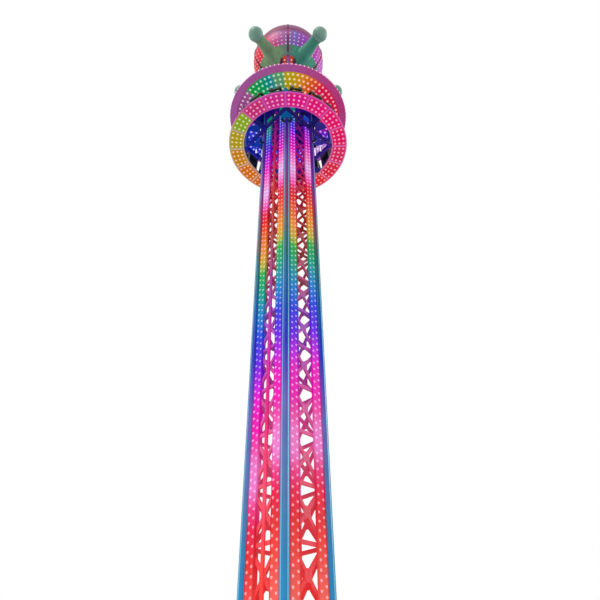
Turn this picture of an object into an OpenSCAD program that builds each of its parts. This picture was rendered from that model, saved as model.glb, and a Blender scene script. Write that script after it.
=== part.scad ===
// Drop tower ride: a square lattice mast with light strips, a ring gondola of sixteen
// outward seats that slides on the mast, a saucer crown and a globe held by a five-armed claw.
// The origin is the middle of the underside of the base frame. Z is up, units are millimetres.

/* [Mast] */
// Distance between the centres of neighbouring corner tubes
mast_side = 1226; // [1100:2:1400]
// Outside diameter of the corner tubes
tube_d = 200; // [140:2:220]
// Height of one lattice bay
bay_h = 1150; // [900:10:1300]
// Number of lattice bays
bays = 17; // [10:1:20]
// Height of the lowest horizontal bar above the base frame
first_bar_h = 340; // [250:10:500]
// Width of a lattice bar seen from outside
bar_w = 80; // [50:2:100]
// Depth of a lattice bar, square to the face
bar_t = 50; // [30:2:80]
// Distance that the lattice faces lie inside the centres of the tubes
face_inset = 25; // [0:1:40]

/* [Base frame] */
// Height of the base beams
beam_h = 200; // [150:10:300]
// Width of the base beams
beam_w = 220; // [200:10:260]
// Side of a corner foot plate
foot_side = 560; // [480:10:640]
// Thickness of the foot plates
foot_t = 30; // [20:1:40]
// Distance between the anchor holes of one foot plate
anchor_pitch = 440; // [380:10:460]
// Diameter of an anchor hole
anchor_d = 33; // [20:1:40]

/* [Light strips and duct] */
// Width of a light strip
strip_w = 250; // [180:5:270]
// Thickness of a light strip
strip_t = 40; // [25:1:50]
// Gap between a light strip and its corner tube
strip_gap = 15; // [10:1:60]
// Bevel along the edges of a light strip
strip_bevel = 12; // [4:1:18]
// Distance that the light strips end below the crown
strip_end = 60; // [20:5:200]
// Width of the duct on the front face
duct_w = 100; // [60:5:160]
// Depth of the duct
duct_t = 36; // [24:2:80]

/* [Gondola ring] */
// Drop from the crown's underside to the gondola's, at the top of its travel
ring_drop = 1750; // [1600:10:2600]
// Radius of the hole through the ring
ring_hole_r = 1650; // [1620:5:1800]
// Width of the ring, from its hole to its rim
ring_w = 550; // [480:5:620]
// Thickness of the ring deck
deck_t = 120; // [90:2:160]
// Distance that the ring's wall leans in above its rim
ring_lean = 70; // [20:2:100]
// Width of the lips round the light panels
lip_w = 40; // [30:1:60]
// Width of the bars between the light panels
divider_w = 70; // [50:2:90]
// Depth of the pockets that hold the light panels
pocket_d = 26; // [20:1:40]
// Thickness of a light panel
panel_t = 20; // [10:1:20]
// Number of light panels, and of seats
panels = 16; // [12:4:20]

/* [Chassis] */
// Width of a chassis beam
chassis_w = 90; // [80:2:130]
// Height of a chassis beam
chassis_h = 150; // [130:2:220]
// Diameter of a guide roller
roller_d = 160; // [120:2:180]
// Width of a guide roller
roller_w = 60; // [40:2:80]
// Running clearance between a roller and its tube
roller_gap = 0.4; // [0.3:0.1:6]
// Height between the lower and the upper guide rollers
roller_rise = 1000; // [800:10:1100]
// Thickness of the bracket plates
bracket_t = 16; // [10:1:25]
// Room between a roller and the shelf over it
roller_room = 20; // [10:1:40]

/* [Seats] */
// Width of a seat
seat_w = 470; // [430:5:500]
// Height of the seat pan above the deck
seat_h = 200; // [170:5:380]
// Distance of the seat backs from the ring's hole
seat_inset = 15; // [10:1:40]
// Lean of the seat back, at its top
back_lean = 60; // [40:2:100]
// Length of the seat pan
pan_l = 340; // [310:5:400]
// Height of the seat back above the pan
back_h = 620; // [600:5:900]
// Thickness of the seat shell
shell_t = 40; // [30:1:60]
// Thickness of the seat's side wings
wing_t = 28; // [18:1:40]
// Reach of the wings beside the rider's head
wing_reach = 110; // [60:2:140]
// Drop of the pan's rounded nose
nose_drop = 40; // [20:1:60]
// Distance between the middles of a restraint's two shoulder pads
pad_apart = 300; // [280:5:310]
// Width of a shoulder pad
pad_w = 110; // [70:1:120]
// Thickness of a shoulder pad
pad_t = 75; // [55:1:90]
// Height of the lap bar above the seat pan
lap_h = 280; // [250:5:300]
// Reach of the shoulder pads in front of the seat back's top
pad_reach = 260; // [240:5:300]

/* [Crown] */
// Drop from the top of the mast to the crown's underside
crown_drop = 610; // [560:10:700]
// Radius of the crown's rim
crown_r = 2290; // [2200:5:2400]
// Radius of the hole in the crown's underside
crown_hole_r = 1250; // [1200:5:1300]
// Width of the plain border at the rim
border_w = 255; // [180:5:300]
// Thickness of the crown's underside
crown_t = 50; // [40:2:80]
// Height of the rim
rim_h = 100; // [80:2:120]
// Distance that the rim leans in at its top
rim_lean = 80; // [40:2:100]
// Rise of the roof from the rim to the neck
roof_rise = 1120; // [1000:10:1300]
// Thickness of the roof shell
roof_t = 25; // [15:1:40]
// Number of roof ribs
ribs = 8; // [4:4:12]
// Thickness of a roof rib
rib_t = 30; // [20:1:50]

/* [Globe and claw] */
// Height of the globe's lowest point above the mast head
neck_l = 2360; // [2100:10:2800]
// Radius of the globe
globe_r = 1570; // [1500:5:1620]
// Thickness of the claw's collar
claw_t = 65; // [40:1:90]
// Turn of the claw's first arm from the east side
claw_turn = -7; // [-36:1:36]
// Radius of the balls at the claw's tips
ball_r = 300; // [260:5:330]
// Distance of the balls' centres from the globe's surface
ball_stand = 970; // [900:10:1050]
// Angle of the balls below the globe's equator
ball_fall = 28; // [24:0.5:32]
// Radius of the neck where it meets the globe
neck_r = 480; // [420:5:520]
// Radius of the neck's column
column_r = 300; // [240:5:360]
// Radius of an arm where it leaves the collar
arm_foot_r = 330; // [280:5:360]
// Radius of an arm at its ball
arm_tip_r = 215; // [180:5:240]
// Width of the seams on the globe
seam_w = 55; // [40:1:90]
// Width of the ribs under the collar
globe_rib_w = 120; // [100:5:170]

/* [Hidden] */

// Clearance between pieces that seat on each other's curved faces
fit = 0.3;
// Clearance of the seats' pedestals above the deck
seat_play = 0.1;
// Overshoot of cutting shapes
over = 10;

// Mast
tube_r = tube_d / 2;
tube_c = mast_side / 2;
bar_z0 = beam_h + first_bar_h;
mast_top = bar_z0 + bays * bay_h + bar_w / 2;
face_c = tube_c - face_inset;
face_in = face_c - bar_t / 2;
face_out = face_c + bar_t / 2;
face_half = tube_c - tube_r - fit;
brace_rise = bay_h - bar_w;
brace_run = 2 * (face_half - bar_w);
brace_l = sqrt(pow(brace_rise, 2) + pow(brace_run, 2));
brace_a = atan(brace_rise / brace_run);
strip_c = tube_c - tube_r - strip_gap - strip_w / 2;

// Heights above the ground that follow from the mast
crown_z = mast_top - crown_drop;
strip_top = crown_z - strip_end;
ring_z = crown_z - ring_drop;

// Gondola ring
ring_r = ring_hole_r + ring_w;
rim_flat = 12;
deck_top = ring_z + deck_t;
panel_a = 360 / panels;
quarter_panels = panels / 4;

// Chassis: its corners meet the wall of the ring's hole
chassis_out = ring_hole_r / sqrt(2) - fit;
roller_c = tube_c + tube_r + roller_gap + roller_d / 2;
bracket_low = ring_z + chassis_h;
axle_d = roller_d / 4;
roller_levels = [bracket_low + roller_d / 2 + roller_room, bracket_low + roller_d / 2 + roller_rise];
shelf_up = roller_d / 2 + roller_room;

// Seats: their rearmost edge, at the top, keeps its distance from the ring's hole
seat_back_r = ring_hole_r + seat_inset + shell_t + back_lean;
pan_top = deck_top + seat_h;
pan_low = pan_top - shell_t;
pan_front = seat_back_r + pan_l;
nose_l = 1.5 * nose_drop;
back_top = [seat_back_r - back_lean, pan_top + back_h];
knee = [back_top[0] + pad_reach + 20, pan_top + lap_h];

// Crown
band_r = crown_r - border_w;
band_in_r = crown_hole_r + lip_w;
roof_r = crown_r - rim_lean;
rim_in_r = roof_r - 1.5 * roof_t;
rim_flat_h = 0.6 * rim_h;
head_t = 140;
head_top = mast_top + head_t;
roof_z = crown_z + rim_h;
roof_slope = roof_rise / (roof_r - column_r);
flange_grow = 1.4;
flange_t = 40;
neck_flare = 300;
neck_rim = 120;

// Height of the roof's underside at radius r, less a clearance
function roof_under(r) = roof_z + (roof_r - r) * roof_slope - fit;

// Globe
globe_z = head_top + neck_l + globe_r;

// Height on the globe, from its centre, of a latitude
function level(latitude) = globe_r * sin(latitude);

// Distance on the globe from a plane through its axis, by latitude and azimuth
function aside(latitude, azimuth) = globe_r * cos(latitude) * sin(azimuth);

// Claw: one collar piece for each arm, in heights from the globe's centre
arms = 5;
arm_a = 360 / arms;
claw_r = globe_r + claw_t;
collar_top = level(-38.5);
collar_low = level(-60);
arch_top = level(-51);
arch_half = aside(-60, arm_a / 2 - 1);
arch_r = (pow(arch_half, 2) + pow(arch_top - collar_low, 2)) / (2 * (arch_top - collar_low));
cup_drop = sqrt(pow(globe_r, 2) - pow(neck_r, 2));
neck_flange_z = globe_z - cup_drop;
ball_place = (globe_r + ball_stand) * [cos(ball_fall), 0, -sin(ball_fall)];
arm_foot = claw_r * [cos(43), 0, -sin(43)];
arm_l = norm(ball_place - arm_foot) - sqrt(pow(ball_r, 2) - pow(arm_tip_r, 2));
arm_tilt = atan2(ball_place[0] - arm_foot[0], ball_place[2] - arm_foot[2]);
arm_sink = 500;
arm_curve = (pow(arm_l, 2) + pow(arm_foot_r - arm_tip_r, 2)) / (2 * (arm_foot_r - arm_tip_r));

// Turns to quarter number i, from 1 to 4, and to face number i, from 0 to 3
module quarter(i) {
    rotate([0, 0, 90 * (i - 1)]) children();
}

module face(i) {
    rotate([0, 0, 90 * i]) children();
}

// Turns to the claw's arm number i, from 1 to 5
module arm(i) {
    rotate([0, 0, claw_turn + arm_a * (i - 1)]) children();
}

// Four copies, one at each corner tube
module at_corners() {
    for (i = [0:3])
        rotate([0, 0, 90 * i]) translate([tube_c, tube_c, 0]) children();
}

// Four copies, one in each quarter
module at_quarters() {
    for (i = [0:3])
        rotate([0, 0, 90 * i]) children();
}

// A box that is centred in X and Y and stands on z
module post(x, y, z, h) {
    translate([-x / 2, -y / 2, z]) cube([x, y, h]);
}

// Base frame: four beams round the square, a cross between their middles and five flat plates
module base_frame() {
    color("dimgray") difference() {
        union() {
            at_corners() post(foot_side, foot_side, 0, foot_t);
            post(foot_side, foot_side, 0, foot_t);
            for (i = [0:3])
                face(i) translate([tube_c, 0, 0]) post(beam_w, mast_side + beam_w, 0, beam_h);
            for (a = [0, 90])
                rotate([0, 0, a]) post(mast_side, beam_w, 0, beam_h);
        }
        at_corners()
            for (x = [-1, 1], y = [-1, 1])
                translate([x * anchor_pitch / 2, y * anchor_pitch / 2, -over])
                    cylinder(d = anchor_d, h = foot_t + 2 * over, $fn = 48);
    }
}

// Corner tubes
module corner_tubes() {
    color("lightsteelblue") at_corners()
        translate([0, 0, beam_h]) cylinder(r = tube_r, h = mast_top - beam_h, $fn = 96);
}

// One lattice face, drawn flat with X along the face and Y up, then stood at +X
module lattice_outline() {
    for (x = [-1, 1])
        translate([x > 0 ? face_half - bar_w : -face_half, bar_z0 - bar_w / 2])
            square([bar_w, bays * bay_h + bar_w]);
    for (k = [0:bays])
        translate([-face_half, bar_z0 + k * bay_h - bar_w / 2]) square([2 * face_half, bar_w]);
    for (k = [0:bays - 1], s = [-1, 1])
        translate([0, bar_z0 + (k + 0.5) * bay_h]) rotate(s * brace_a)
            square([brace_l + bar_w, bar_w], center = true);
}

module lattice() {
    translate([face_in, 0, 0]) rotate([90, 0, 90]) linear_extrude(bar_t) lattice_outline();
}

module lattice_east() {
    color("crimson") face(0) lattice();
}

module lattice_north() {
    color("crimson") face(1) lattice();
}

module lattice_west() {
    color("crimson") face(2) lattice();
}

module lattice_south() {
    color("crimson") face(3) lattice();
}

// A bar with bevelled front edges that stands on the lattice of one face, from the base up
module bevelled_bar(wide, thick, bevel) {
    translate([face_out, 0, beam_h]) linear_extrude(strip_top - beam_h) polygon([
        [0, -wide / 2], [thick - bevel, -wide / 2], [thick, -wide / 2 + bevel],
        [thick, wide / 2 - bevel], [thick - bevel, wide / 2], [0, wide / 2]
    ]);
}

// The two light strips of one face
module light_strips() {
    for (s = [-1, 1])
        translate([0, s * strip_c, 0]) bevelled_bar(strip_w, strip_t, strip_bevel);
}

module light_strips_east() {
    color("magenta") face(0) light_strips();
}

module light_strips_north() {
    color("magenta") face(1) light_strips();
}

module light_strips_west() {
    color("magenta") face(2) light_strips();
}

module light_strips_south() {
    color("magenta") face(3) light_strips();
}

// Duct in the middle of the front face
module front_duct() {
    color("orangered") face(3) bevelled_bar(duct_w, duct_t, strip_bevel / 2);
}

// Mast head: a square frame on the tubes with a cross that carries the neck
module mast_head() {
    color("slategray") {
        for (i = [0:3])
            face(i) translate([tube_c, 0, 0]) post(tube_d, mast_side + tube_d, mast_top, head_t);
        for (a = [0, 90])
            rotate([0, 0, a]) post(mast_side, 2 * column_r, mast_top, head_t);
    }
}

// Crown underside: a border, a pocket for the lights and a lip round the hole
module crown_deck() {
    translate([0, 0, crown_z]) rotate_extrude(angle = 90, $fn = 192) polygon([
        [crown_hole_r, 0], [band_in_r, 0], [band_in_r, panel_t], [band_r, panel_t],
        [band_r, 0], [crown_r - rim_flat, 0], [crown_r, rim_flat], [crown_r, rim_flat_h],
        [roof_r, rim_h], [rim_in_r, rim_h], [rim_in_r, crown_t],
        [crown_hole_r, crown_t]
    ]);
}

module crown_deck_1() {
    color("orchid") quarter(1) crown_deck();
}

module crown_deck_2() {
    color("orchid") quarter(2) crown_deck();
}

module crown_deck_3() {
    color("orchid") quarter(3) crown_deck();
}

module crown_deck_4() {
    color("orchid") quarter(4) crown_deck();
}

// Light band of the crown
module crown_lights() {
    translate([0, 0, crown_z]) rotate_extrude(angle = 90, $fn = 192)
        translate([band_in_r + fit, 0]) square([band_r - band_in_r - 2 * fit, panel_t]);
}

module crown_lights_1() {
    color("gold") quarter(1) crown_lights();
}

module crown_lights_2() {
    color("hotpink") quarter(2) crown_lights();
}

module crown_lights_3() {
    color("mediumseagreen") quarter(3) crown_lights();
}

module crown_lights_4() {
    color("orange") quarter(4) crown_lights();
}

// Ribs from the mast head to the rim, under the roof
module crown_ribs() {
    rib_in = column_r * flange_grow + fit;
    rib_out = rim_in_r - fit;
    head_out = (tube_c + tube_r) * sqrt(2) + fit;
    color("midnightblue") for (i = [0:ribs - 1])
        rotate([0, 0, i * 360 / ribs]) rotate([90, 0, 0])
            linear_extrude(rib_t, center = true) polygon([
                [crown_hole_r, crown_z + crown_t], [rib_out, crown_z + crown_t],
                [rib_out, roof_under(rib_out)], [rib_in, roof_under(rib_in)],
                [rib_in, head_top], [head_out, head_top], [head_out, mast_top]
            ]);
}

// Roof: a shallow cone from the rim up to the neck
module crown_roof() {
    color("navy") translate([0, 0, roof_z]) rotate_extrude($fn = 192) polygon([
        [roof_r, 0], [roof_r, roof_t], [column_r + fit, roof_rise + roof_t], [column_r + fit, roof_rise]
    ]);
}

// Neck: a column on the mast head that widens into the seat of the globe
module neck() {
    color("slategray") difference() {
        rotate_extrude($fn = 96) polygon([
            [0, head_top], [column_r * flange_grow, head_top], [column_r * flange_grow, head_top + flange_t],
            [column_r, head_top + flange_t], [column_r, neck_flange_z - neck_rim - neck_flare],
            [neck_r, neck_flange_z - neck_rim], [neck_r, neck_flange_z + over], [0, neck_flange_z + over]
        ]);
        translate([0, 0, globe_z]) sphere(r = globe_r + fit, $fn = 192);
    }
}

// Globe
module globe() {
    color("orchid") translate([0, 0, globe_z]) sphere(r = globe_r, $fn = 192);
}

// A thin shell on a sphere of radius r between two heights from the globe's centre
module globe_zone(r, low, high) {
    intersection() {
        difference() {
            sphere(r = r + claw_t / 3, $fn = 192);
            sphere(r = r + fit, $fn = 192);
        }
        post(3 * globe_r, 3 * globe_r, low, high - low);
    }
}

// An upright slab of a width at each joint between two arms, from the axis outwards
module at_joints(wide) {
    for (i = [1:arms])
        arm(i + 0.5) translate([0, -wide / 2, -2 * globe_r]) cube([2 * globe_r, wide, 4 * globe_r]);
}

// Seams over the joints of the globe and of its collar, and the ribs under the collar
module globe_seams() {
    color("firebrick") translate([0, 0, globe_z]) {
        intersection() {
            globe_zone(globe_r, collar_top + fit, 2 * globe_r);
            at_joints(seam_w);
        }
        intersection() {
            globe_zone(claw_r, arch_top, collar_top);
            at_joints(seam_w);
        }
        intersection() {
            globe_zone(globe_r, -cup_drop + 2 * over, arch_top - 2 * over);
            at_joints(globe_rib_w);
        }
    }
}

// One piece of the collar, from one joint to the next, with an arch under each joint
module claw_collar() {
    difference() {
        rotate([0, 0, -arm_a / 2]) rotate_extrude(angle = arm_a, $fn = 192) intersection() {
            difference() {
                circle(r = claw_r, $fn = 192);
                circle(r = globe_r + fit, $fn = 192);
            }
            translate([over, collar_low]) square([2 * globe_r, collar_top - collar_low]);
        }
        for (a = [-arm_a / 2, arm_a / 2])
            rotate([0, 0, a]) rotate([90, 0, 90]) translate([0, arch_top - arch_r])
                cylinder(r = arch_r, h = 2 * globe_r, $fn = 192);
    }
}

// Moves to the foot of the arm along +X, with Z along the arm
module at_arm_foot() {
    translate(arm_foot) rotate([0, arm_tilt, 0]) children();
}

// The arm that carries a ball, from the collar out to the flat on the ball
module claw_arm() {
    difference() {
        at_arm_foot() rotate_extrude($fn = 96) difference() {
            translate([0, -arm_sink]) square([arm_foot_r, arm_l + arm_sink]);
            translate([arm_tip_r + arm_curve, arm_l]) circle(r = arm_curve, $fn = 192);
        }
        sphere(r = globe_r + claw_t / 2, $fn = 192);
    }
}

// One part of the claw, with its arm along +X
module claw_part() {
    translate([0, 0, globe_z]) {
        claw_collar();
        claw_arm();
    }
}

module claw_1() {
    color("mediumaquamarine") arm(1) claw_part();
}

module claw_2() {
    color("mediumaquamarine") arm(2) claw_part();
}

module claw_3() {
    color("mediumaquamarine") arm(3) claw_part();
}

module claw_4() {
    color("mediumaquamarine") arm(4) claw_part();
}

module claw_5() {
    color("mediumaquamarine") arm(5) claw_part();
}

// Balls at the claw's tips, each with a flat that sits on its arm
module claw_balls() {
    color("darkseagreen") for (i = [1:arms])
        arm(i) translate([0, 0, globe_z]) difference() {
            translate(ball_place) sphere(r = ball_r, $fn = 96);
            at_arm_foot() post(2 * ball_r, 2 * ball_r, arm_l - ball_r, ball_r + fit);
        }
}

// Bars between the light panels of one quarter, wider by a clearance for the cut
module dividers(clear) {
    for (k = [0:quarter_panels])
        rotate([0, 0, k * panel_a])
            translate([ring_hole_r + lip_w / 2, -divider_w / 2 - clear, ring_z])
                cube([ring_r - ring_hole_r - lip_w, divider_w + 2 * clear, pocket_d]);
}

// A quarter of space, from +X to +Y
module quarter_space(z, h) {
    translate([0, 0, z]) cube([2 * ring_r, 2 * ring_r, h]);
}

// One quarter of the ring deck, with pockets for its light panels
module ring_deck() {
    translate([0, 0, ring_z]) rotate_extrude(angle = 90, $fn = 192) polygon([
        [ring_hole_r, 0], [ring_hole_r + lip_w, 0], [ring_hole_r + lip_w, pocket_d],
        [ring_r - lip_w, pocket_d], [ring_r - lip_w, 0], [ring_r - rim_flat, 0], [ring_r, rim_flat],
        [ring_r, deck_t / 3], [ring_r - ring_lean, deck_t], [ring_hole_r, deck_t]
    ]);
    intersection() {
        dividers(0);
        quarter_space(ring_z, pocket_d);
    }
}

module ring_deck_1() {
    color("lightpink") quarter(1) ring_deck();
}

module ring_deck_2() {
    color("lightpink") quarter(2) ring_deck();
}

module ring_deck_3() {
    color("lightpink") quarter(3) ring_deck();
}

module ring_deck_4() {
    color("lightpink") quarter(4) ring_deck();
}

// The light panels of one quarter
module ring_lights() {
    difference() {
        translate([0, 0, ring_z + pocket_d - panel_t]) rotate_extrude(angle = 90, $fn = 192)
            translate([ring_hole_r + lip_w + fit, 0])
                square([ring_r - ring_hole_r - 2 * lip_w - 2 * fit, panel_t]);
        dividers(fit);
    }
}

module ring_lights_1() {
    color("hotpink") quarter(1) ring_lights();
}

module ring_lights_2() {
    color("tomato") quarter(2) ring_lights();
}

module ring_lights_3() {
    color("orange") quarter(3) ring_lights();
}

module ring_lights_4() {
    color("deeppink") quarter(4) ring_lights();
}

// One chassis beam, at +X, with ties to the ring that start inside the beam
module chassis() {
    tie_in = chassis_out - chassis_w / 2;
    tie_l = sqrt(pow(ring_hole_r, 2) - pow(chassis_w, 2)) - tie_in;
    end_cut = chassis_out - chassis_w;
    translate([0, 0, ring_z]) {
        linear_extrude(chassis_h) polygon([
            [chassis_out, chassis_out], [end_cut, end_cut], [end_cut, -end_cut], [chassis_out, -chassis_out]
        ]);
        for (s = [-1, 1])
            translate([tie_in, s * chassis_w / 2 - chassis_w / 4, 0])
                cube([tie_l - fit, chassis_w / 2, deck_t]);
    }
}

module chassis_east() {
    color("darkslategray") face(0) chassis();
}

module chassis_north() {
    color("darkslategray") face(1) chassis();
}

module chassis_west() {
    color("darkslategray") face(2) chassis();
}

module chassis_south() {
    color("darkslategray") face(3) chassis();
}

// Guide brackets: at each corner a post on the chassis carries two shelves, and each shelf
// holds the yokes of the two rollers that run on the corner tube
module guide_brackets() {
    post_c = chassis_out - chassis_w / 2;
    color("dimgray") at_quarters() {
        translate([post_c, post_c, 0])
            post(chassis_w, chassis_w, bracket_low, roller_rise + roller_d + bracket_t + roller_room);
        for (z = roller_levels) {
            translate([0, 0, z + shelf_up]) linear_extrude(bracket_t) shelf_outline();
            for (m = [0, 1])
                mirror([m, -m, 0]) yoke(z);
        }
    }
}

// Outline of a shelf, from the post in to the two yokes
module shelf_outline() {
    in = roller_c - axle_d;
    out = roller_c + shelf_up;
    side = tube_c - roller_w / 2 - 2 * bracket_t;
    edge = chassis_out - chassis_w;
    polygon([
        [in, side], [out, side], [chassis_out, edge], [chassis_out, chassis_out],
        [edge, chassis_out], [side, out], [side, in], [in, in]
    ]);
}

// The two plates that hold the axle of the roller on the tube's +X side
module yoke(z) {
    for (s = [-1, 1])
        translate([0, tube_c + s * (roller_w / 2 + bracket_t / 2 + fit), z])
            difference() {
                translate([roller_c - axle_d, -bracket_t / 2, -axle_d])
                    cube([2 * axle_d, bracket_t, axle_d + shelf_up]);
                translate([roller_c, 0, 0]) rotate([90, 0, 0])
                    cylinder(d = axle_d + 2 * fit, h = 2 * bracket_t, center = true, $fn = 48);
            }
}

// Guide rollers with their axles
module guide_rollers() {
    color("gray") at_quarters()
        for (z = roller_levels, m = [0, 1])
            mirror([m, -m, 0]) translate([roller_c, tube_c, z]) rotate([90, 0, 0]) {
                cylinder(d = roller_d, h = roller_w, center = true, $fn = 64);
                cylinder(d = axle_d, h = roller_w + 4 * bracket_t, center = true, $fn = 48);
            }
}

// Places one quarter's seats over its panels, each facing outwards along its own X
module at_seats(i) {
    for (k = [0:quarter_panels - 1])
        rotate([0, 0, 90 * (i - 1) + (k + 0.5) * panel_a]) children();
}

// A seat between its wings: a pedestal and a bent shell with a rounded nose
module seat() {
    knee_roll = nose_l / 2;
    rotate([90, 0, 0]) linear_extrude(seat_w - 2 * wing_t, center = true) polygon([
        [seat_back_r - shell_t, pan_low], [pan_front - nose_l, pan_low],
        [pan_front - knee_roll, pan_low - nose_drop], [pan_front, pan_low - nose_drop],
        [pan_front, pan_top - knee_roll], [pan_front - knee_roll, pan_top],
        [seat_back_r + 2 * shell_t, pan_top - shell_t / 3], [seat_back_r, pan_top + shell_t],
        back_top, back_top - [shell_t, 0]
    ]);
    translate([seat_back_r + pan_l / 2 - shell_t, 0, 0])
        post(pan_l / 2, seat_w / 2, deck_top + seat_play, seat_h - shell_t - seat_play);
}

// Outline of a wing: low beside the thigh, high beside the head
module wing_outline() {
    polygon([
        [seat_back_r - shell_t, pan_low], [pan_front - nose_l, pan_low],
        [pan_front - nose_l, pan_top + wing_reach / 2], [seat_back_r + 1.4 * wing_reach, pan_top + wing_reach],
        [seat_back_r + 0.6 * wing_reach, pan_top + 0.4 * back_h],
        back_top + [0.8 * wing_reach, -0.35 * back_h], back_top + [wing_reach, -0.2 * back_h],
        back_top + [0.8 * wing_reach, -shell_t], back_top + [wing_reach / 2, 0], back_top - [shell_t, 0]
    ]);
}

// Wings on both sides of every seat's shell
module seat_wings() {
    color("royalblue") for (i = [1:4])
        at_seats(i) for (s = [-1, 1])
            translate([0, s * (seat_w - wing_t) / 2, 0]) rotate([90, 0, 0])
                linear_extrude(wing_t, center = true) wing_outline();
}

module seats_1() {
    color("royalblue") at_seats(1) seat();
}

module seats_2() {
    color("royalblue") at_seats(2) seat();
}

module seats_3() {
    color("royalblue") at_seats(3) seat();
}

module seats_4() {
    color("royalblue") at_seats(4) seat();
}

// A shoulder restraint: two padded arms over the seat back
module restraint() {
    color("darkorange") for (s = [-1, 1])
        translate([0, s * pad_apart / 2, 0]) rotate([90, 0, 0])
            linear_extrude(pad_w, center = true) pad_outline();
}

// Bars over the laps, each across the ends of a restraint's two arms
module lap_bars() {
    color("darkorange") for (i = [1:4])
        at_seats(i) translate([knee[0] + pad_t / 2, 0, 0])
            post(pad_t, pad_apart + pad_w, knee[1] - pad_t, pad_t);
}

// Outline of a padded arm: over the back's top edge, forward over the shoulder and down the chest
module pad_outline() {
    polygon([
        back_top + [-shell_t, fit], back_top + [-shell_t, 0.8 * pad_t], back_top + [shell_t, 1.2 * pad_t],
        back_top + [0.45 * pad_reach, 1.1 * pad_t], back_top + [0.8 * pad_reach, 0.4 * pad_t],
        back_top + [pad_reach, -0.8 * pad_t], knee + [pad_t, 0], knee,
        back_top + [pad_reach - pad_t, -1.2 * pad_t], back_top + [0.65 * pad_reach, -0.4 * pad_t],
        back_top + [0.4 * pad_reach, 0.1 * pad_t], back_top + [shell_t, fit]
    ]);
}

module restraints_1() {
    at_seats(1) restraint();
}

module restraints_2() {
    at_seats(2) restraint();
}

module restraints_3() {
    at_seats(3) restraint();
}

module restraints_4() {
    at_seats(4) restraint();
}

base_frame();
corner_tubes();
lattice_east();
lattice_north();
lattice_west();
lattice_south();
light_strips_east();
light_strips_north();
light_strips_west();
light_strips_south();
front_duct();
mast_head();
crown_deck_1();
crown_deck_2();
crown_deck_3();
crown_deck_4();
crown_lights_1();
crown_lights_2();
crown_lights_3();
crown_lights_4();
crown_ribs();
crown_roof();
neck();
globe();
globe_seams();
claw_1();
claw_2();
claw_3();
claw_4();
claw_5();
claw_balls();
ring_deck_1();
ring_deck_2();
ring_deck_3();
ring_deck_4();
ring_lights_1();
ring_lights_2();
ring_lights_3();
ring_lights_4();
chassis_east();
chassis_north();
chassis_west();
chassis_south();
guide_brackets();
guide_rollers();
seats_1();
seats_2();
seats_3();
seats_4();
seat_wings();
restraints_1();
restraints_2();
restraints_3();
restraints_4();
lap_bars();
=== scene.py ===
"""Drop tower ride: the looks of the mast, the gondola, the crown and the globe in its claw."""
import math
from itertools import product

import bmesh
import bpy
from mathutils import Matrix, Vector


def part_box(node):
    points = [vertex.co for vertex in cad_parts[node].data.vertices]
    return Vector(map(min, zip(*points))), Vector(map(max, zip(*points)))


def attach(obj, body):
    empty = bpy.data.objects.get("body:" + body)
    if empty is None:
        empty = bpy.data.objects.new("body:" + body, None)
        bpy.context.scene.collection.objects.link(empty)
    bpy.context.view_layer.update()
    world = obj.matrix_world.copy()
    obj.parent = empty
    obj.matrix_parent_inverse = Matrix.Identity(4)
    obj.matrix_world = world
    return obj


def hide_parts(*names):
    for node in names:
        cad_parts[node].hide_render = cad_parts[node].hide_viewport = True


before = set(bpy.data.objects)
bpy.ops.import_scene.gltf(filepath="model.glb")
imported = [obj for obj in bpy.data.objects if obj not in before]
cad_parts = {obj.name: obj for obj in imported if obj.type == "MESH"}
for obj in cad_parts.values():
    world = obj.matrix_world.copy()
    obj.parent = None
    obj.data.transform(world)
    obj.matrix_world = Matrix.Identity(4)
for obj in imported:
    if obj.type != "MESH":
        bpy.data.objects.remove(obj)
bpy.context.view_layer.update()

# Camera: its place round the mast, its distance from the mast's axis and how it is held
CAMERA_AZIMUTH = 47.8
CAMERA_DISTANCE = 11.14
EYE_HEIGHT = 1.6
LOOK_UP = 38.48
LOOK_RIGHT = 1.82
LEAN = 0.95
LENS_MM = 30.0
SENSOR_MM = 36.0
FAR_CLIP = 300.0

# Directions that fittings face
EAST = (1, 0, 0)
WEST = (-1, 0, 0)
NORTH = (0, 1, 0)
DOWN = (0, 0, -1)
SIDES = (-1, 1)


def turned(degrees, axis="Z"):
    return Matrix.Rotation(math.radians(degrees), 4, axis)


def at(x, y, z):
    return Matrix.Translation((x, y, z))


def wide(x, y, z=1.0):
    return Matrix.Diagonal((x, y, z, 1.0))


def facing(place, outward, size=1.0):
    """Stands a fitting on a place, with its Z along the outward direction."""
    turn = Vector(outward).to_track_quat("Z", "Y").to_matrix().to_4x4()
    return Matrix.Translation(place) @ turn @ Matrix.Scale(size, 4)


def direction(azimuth, elevation):
    """The direction at an angle round the mast and an angle above the horizon, in degrees."""
    around = math.radians(azimuth)
    up = math.radians(elevation)
    return Vector((math.cos(up) * math.cos(around), math.cos(up) * math.sin(around), math.sin(up)))


def shared_circle(count, start=0.0):
    """Turns that share out a circle evenly, the first one a part of a step from +X."""
    return [turned(360 * (k + start) / count) for k in range(count)]


def about(middle, half):
    return middle - half, middle + half


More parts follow.
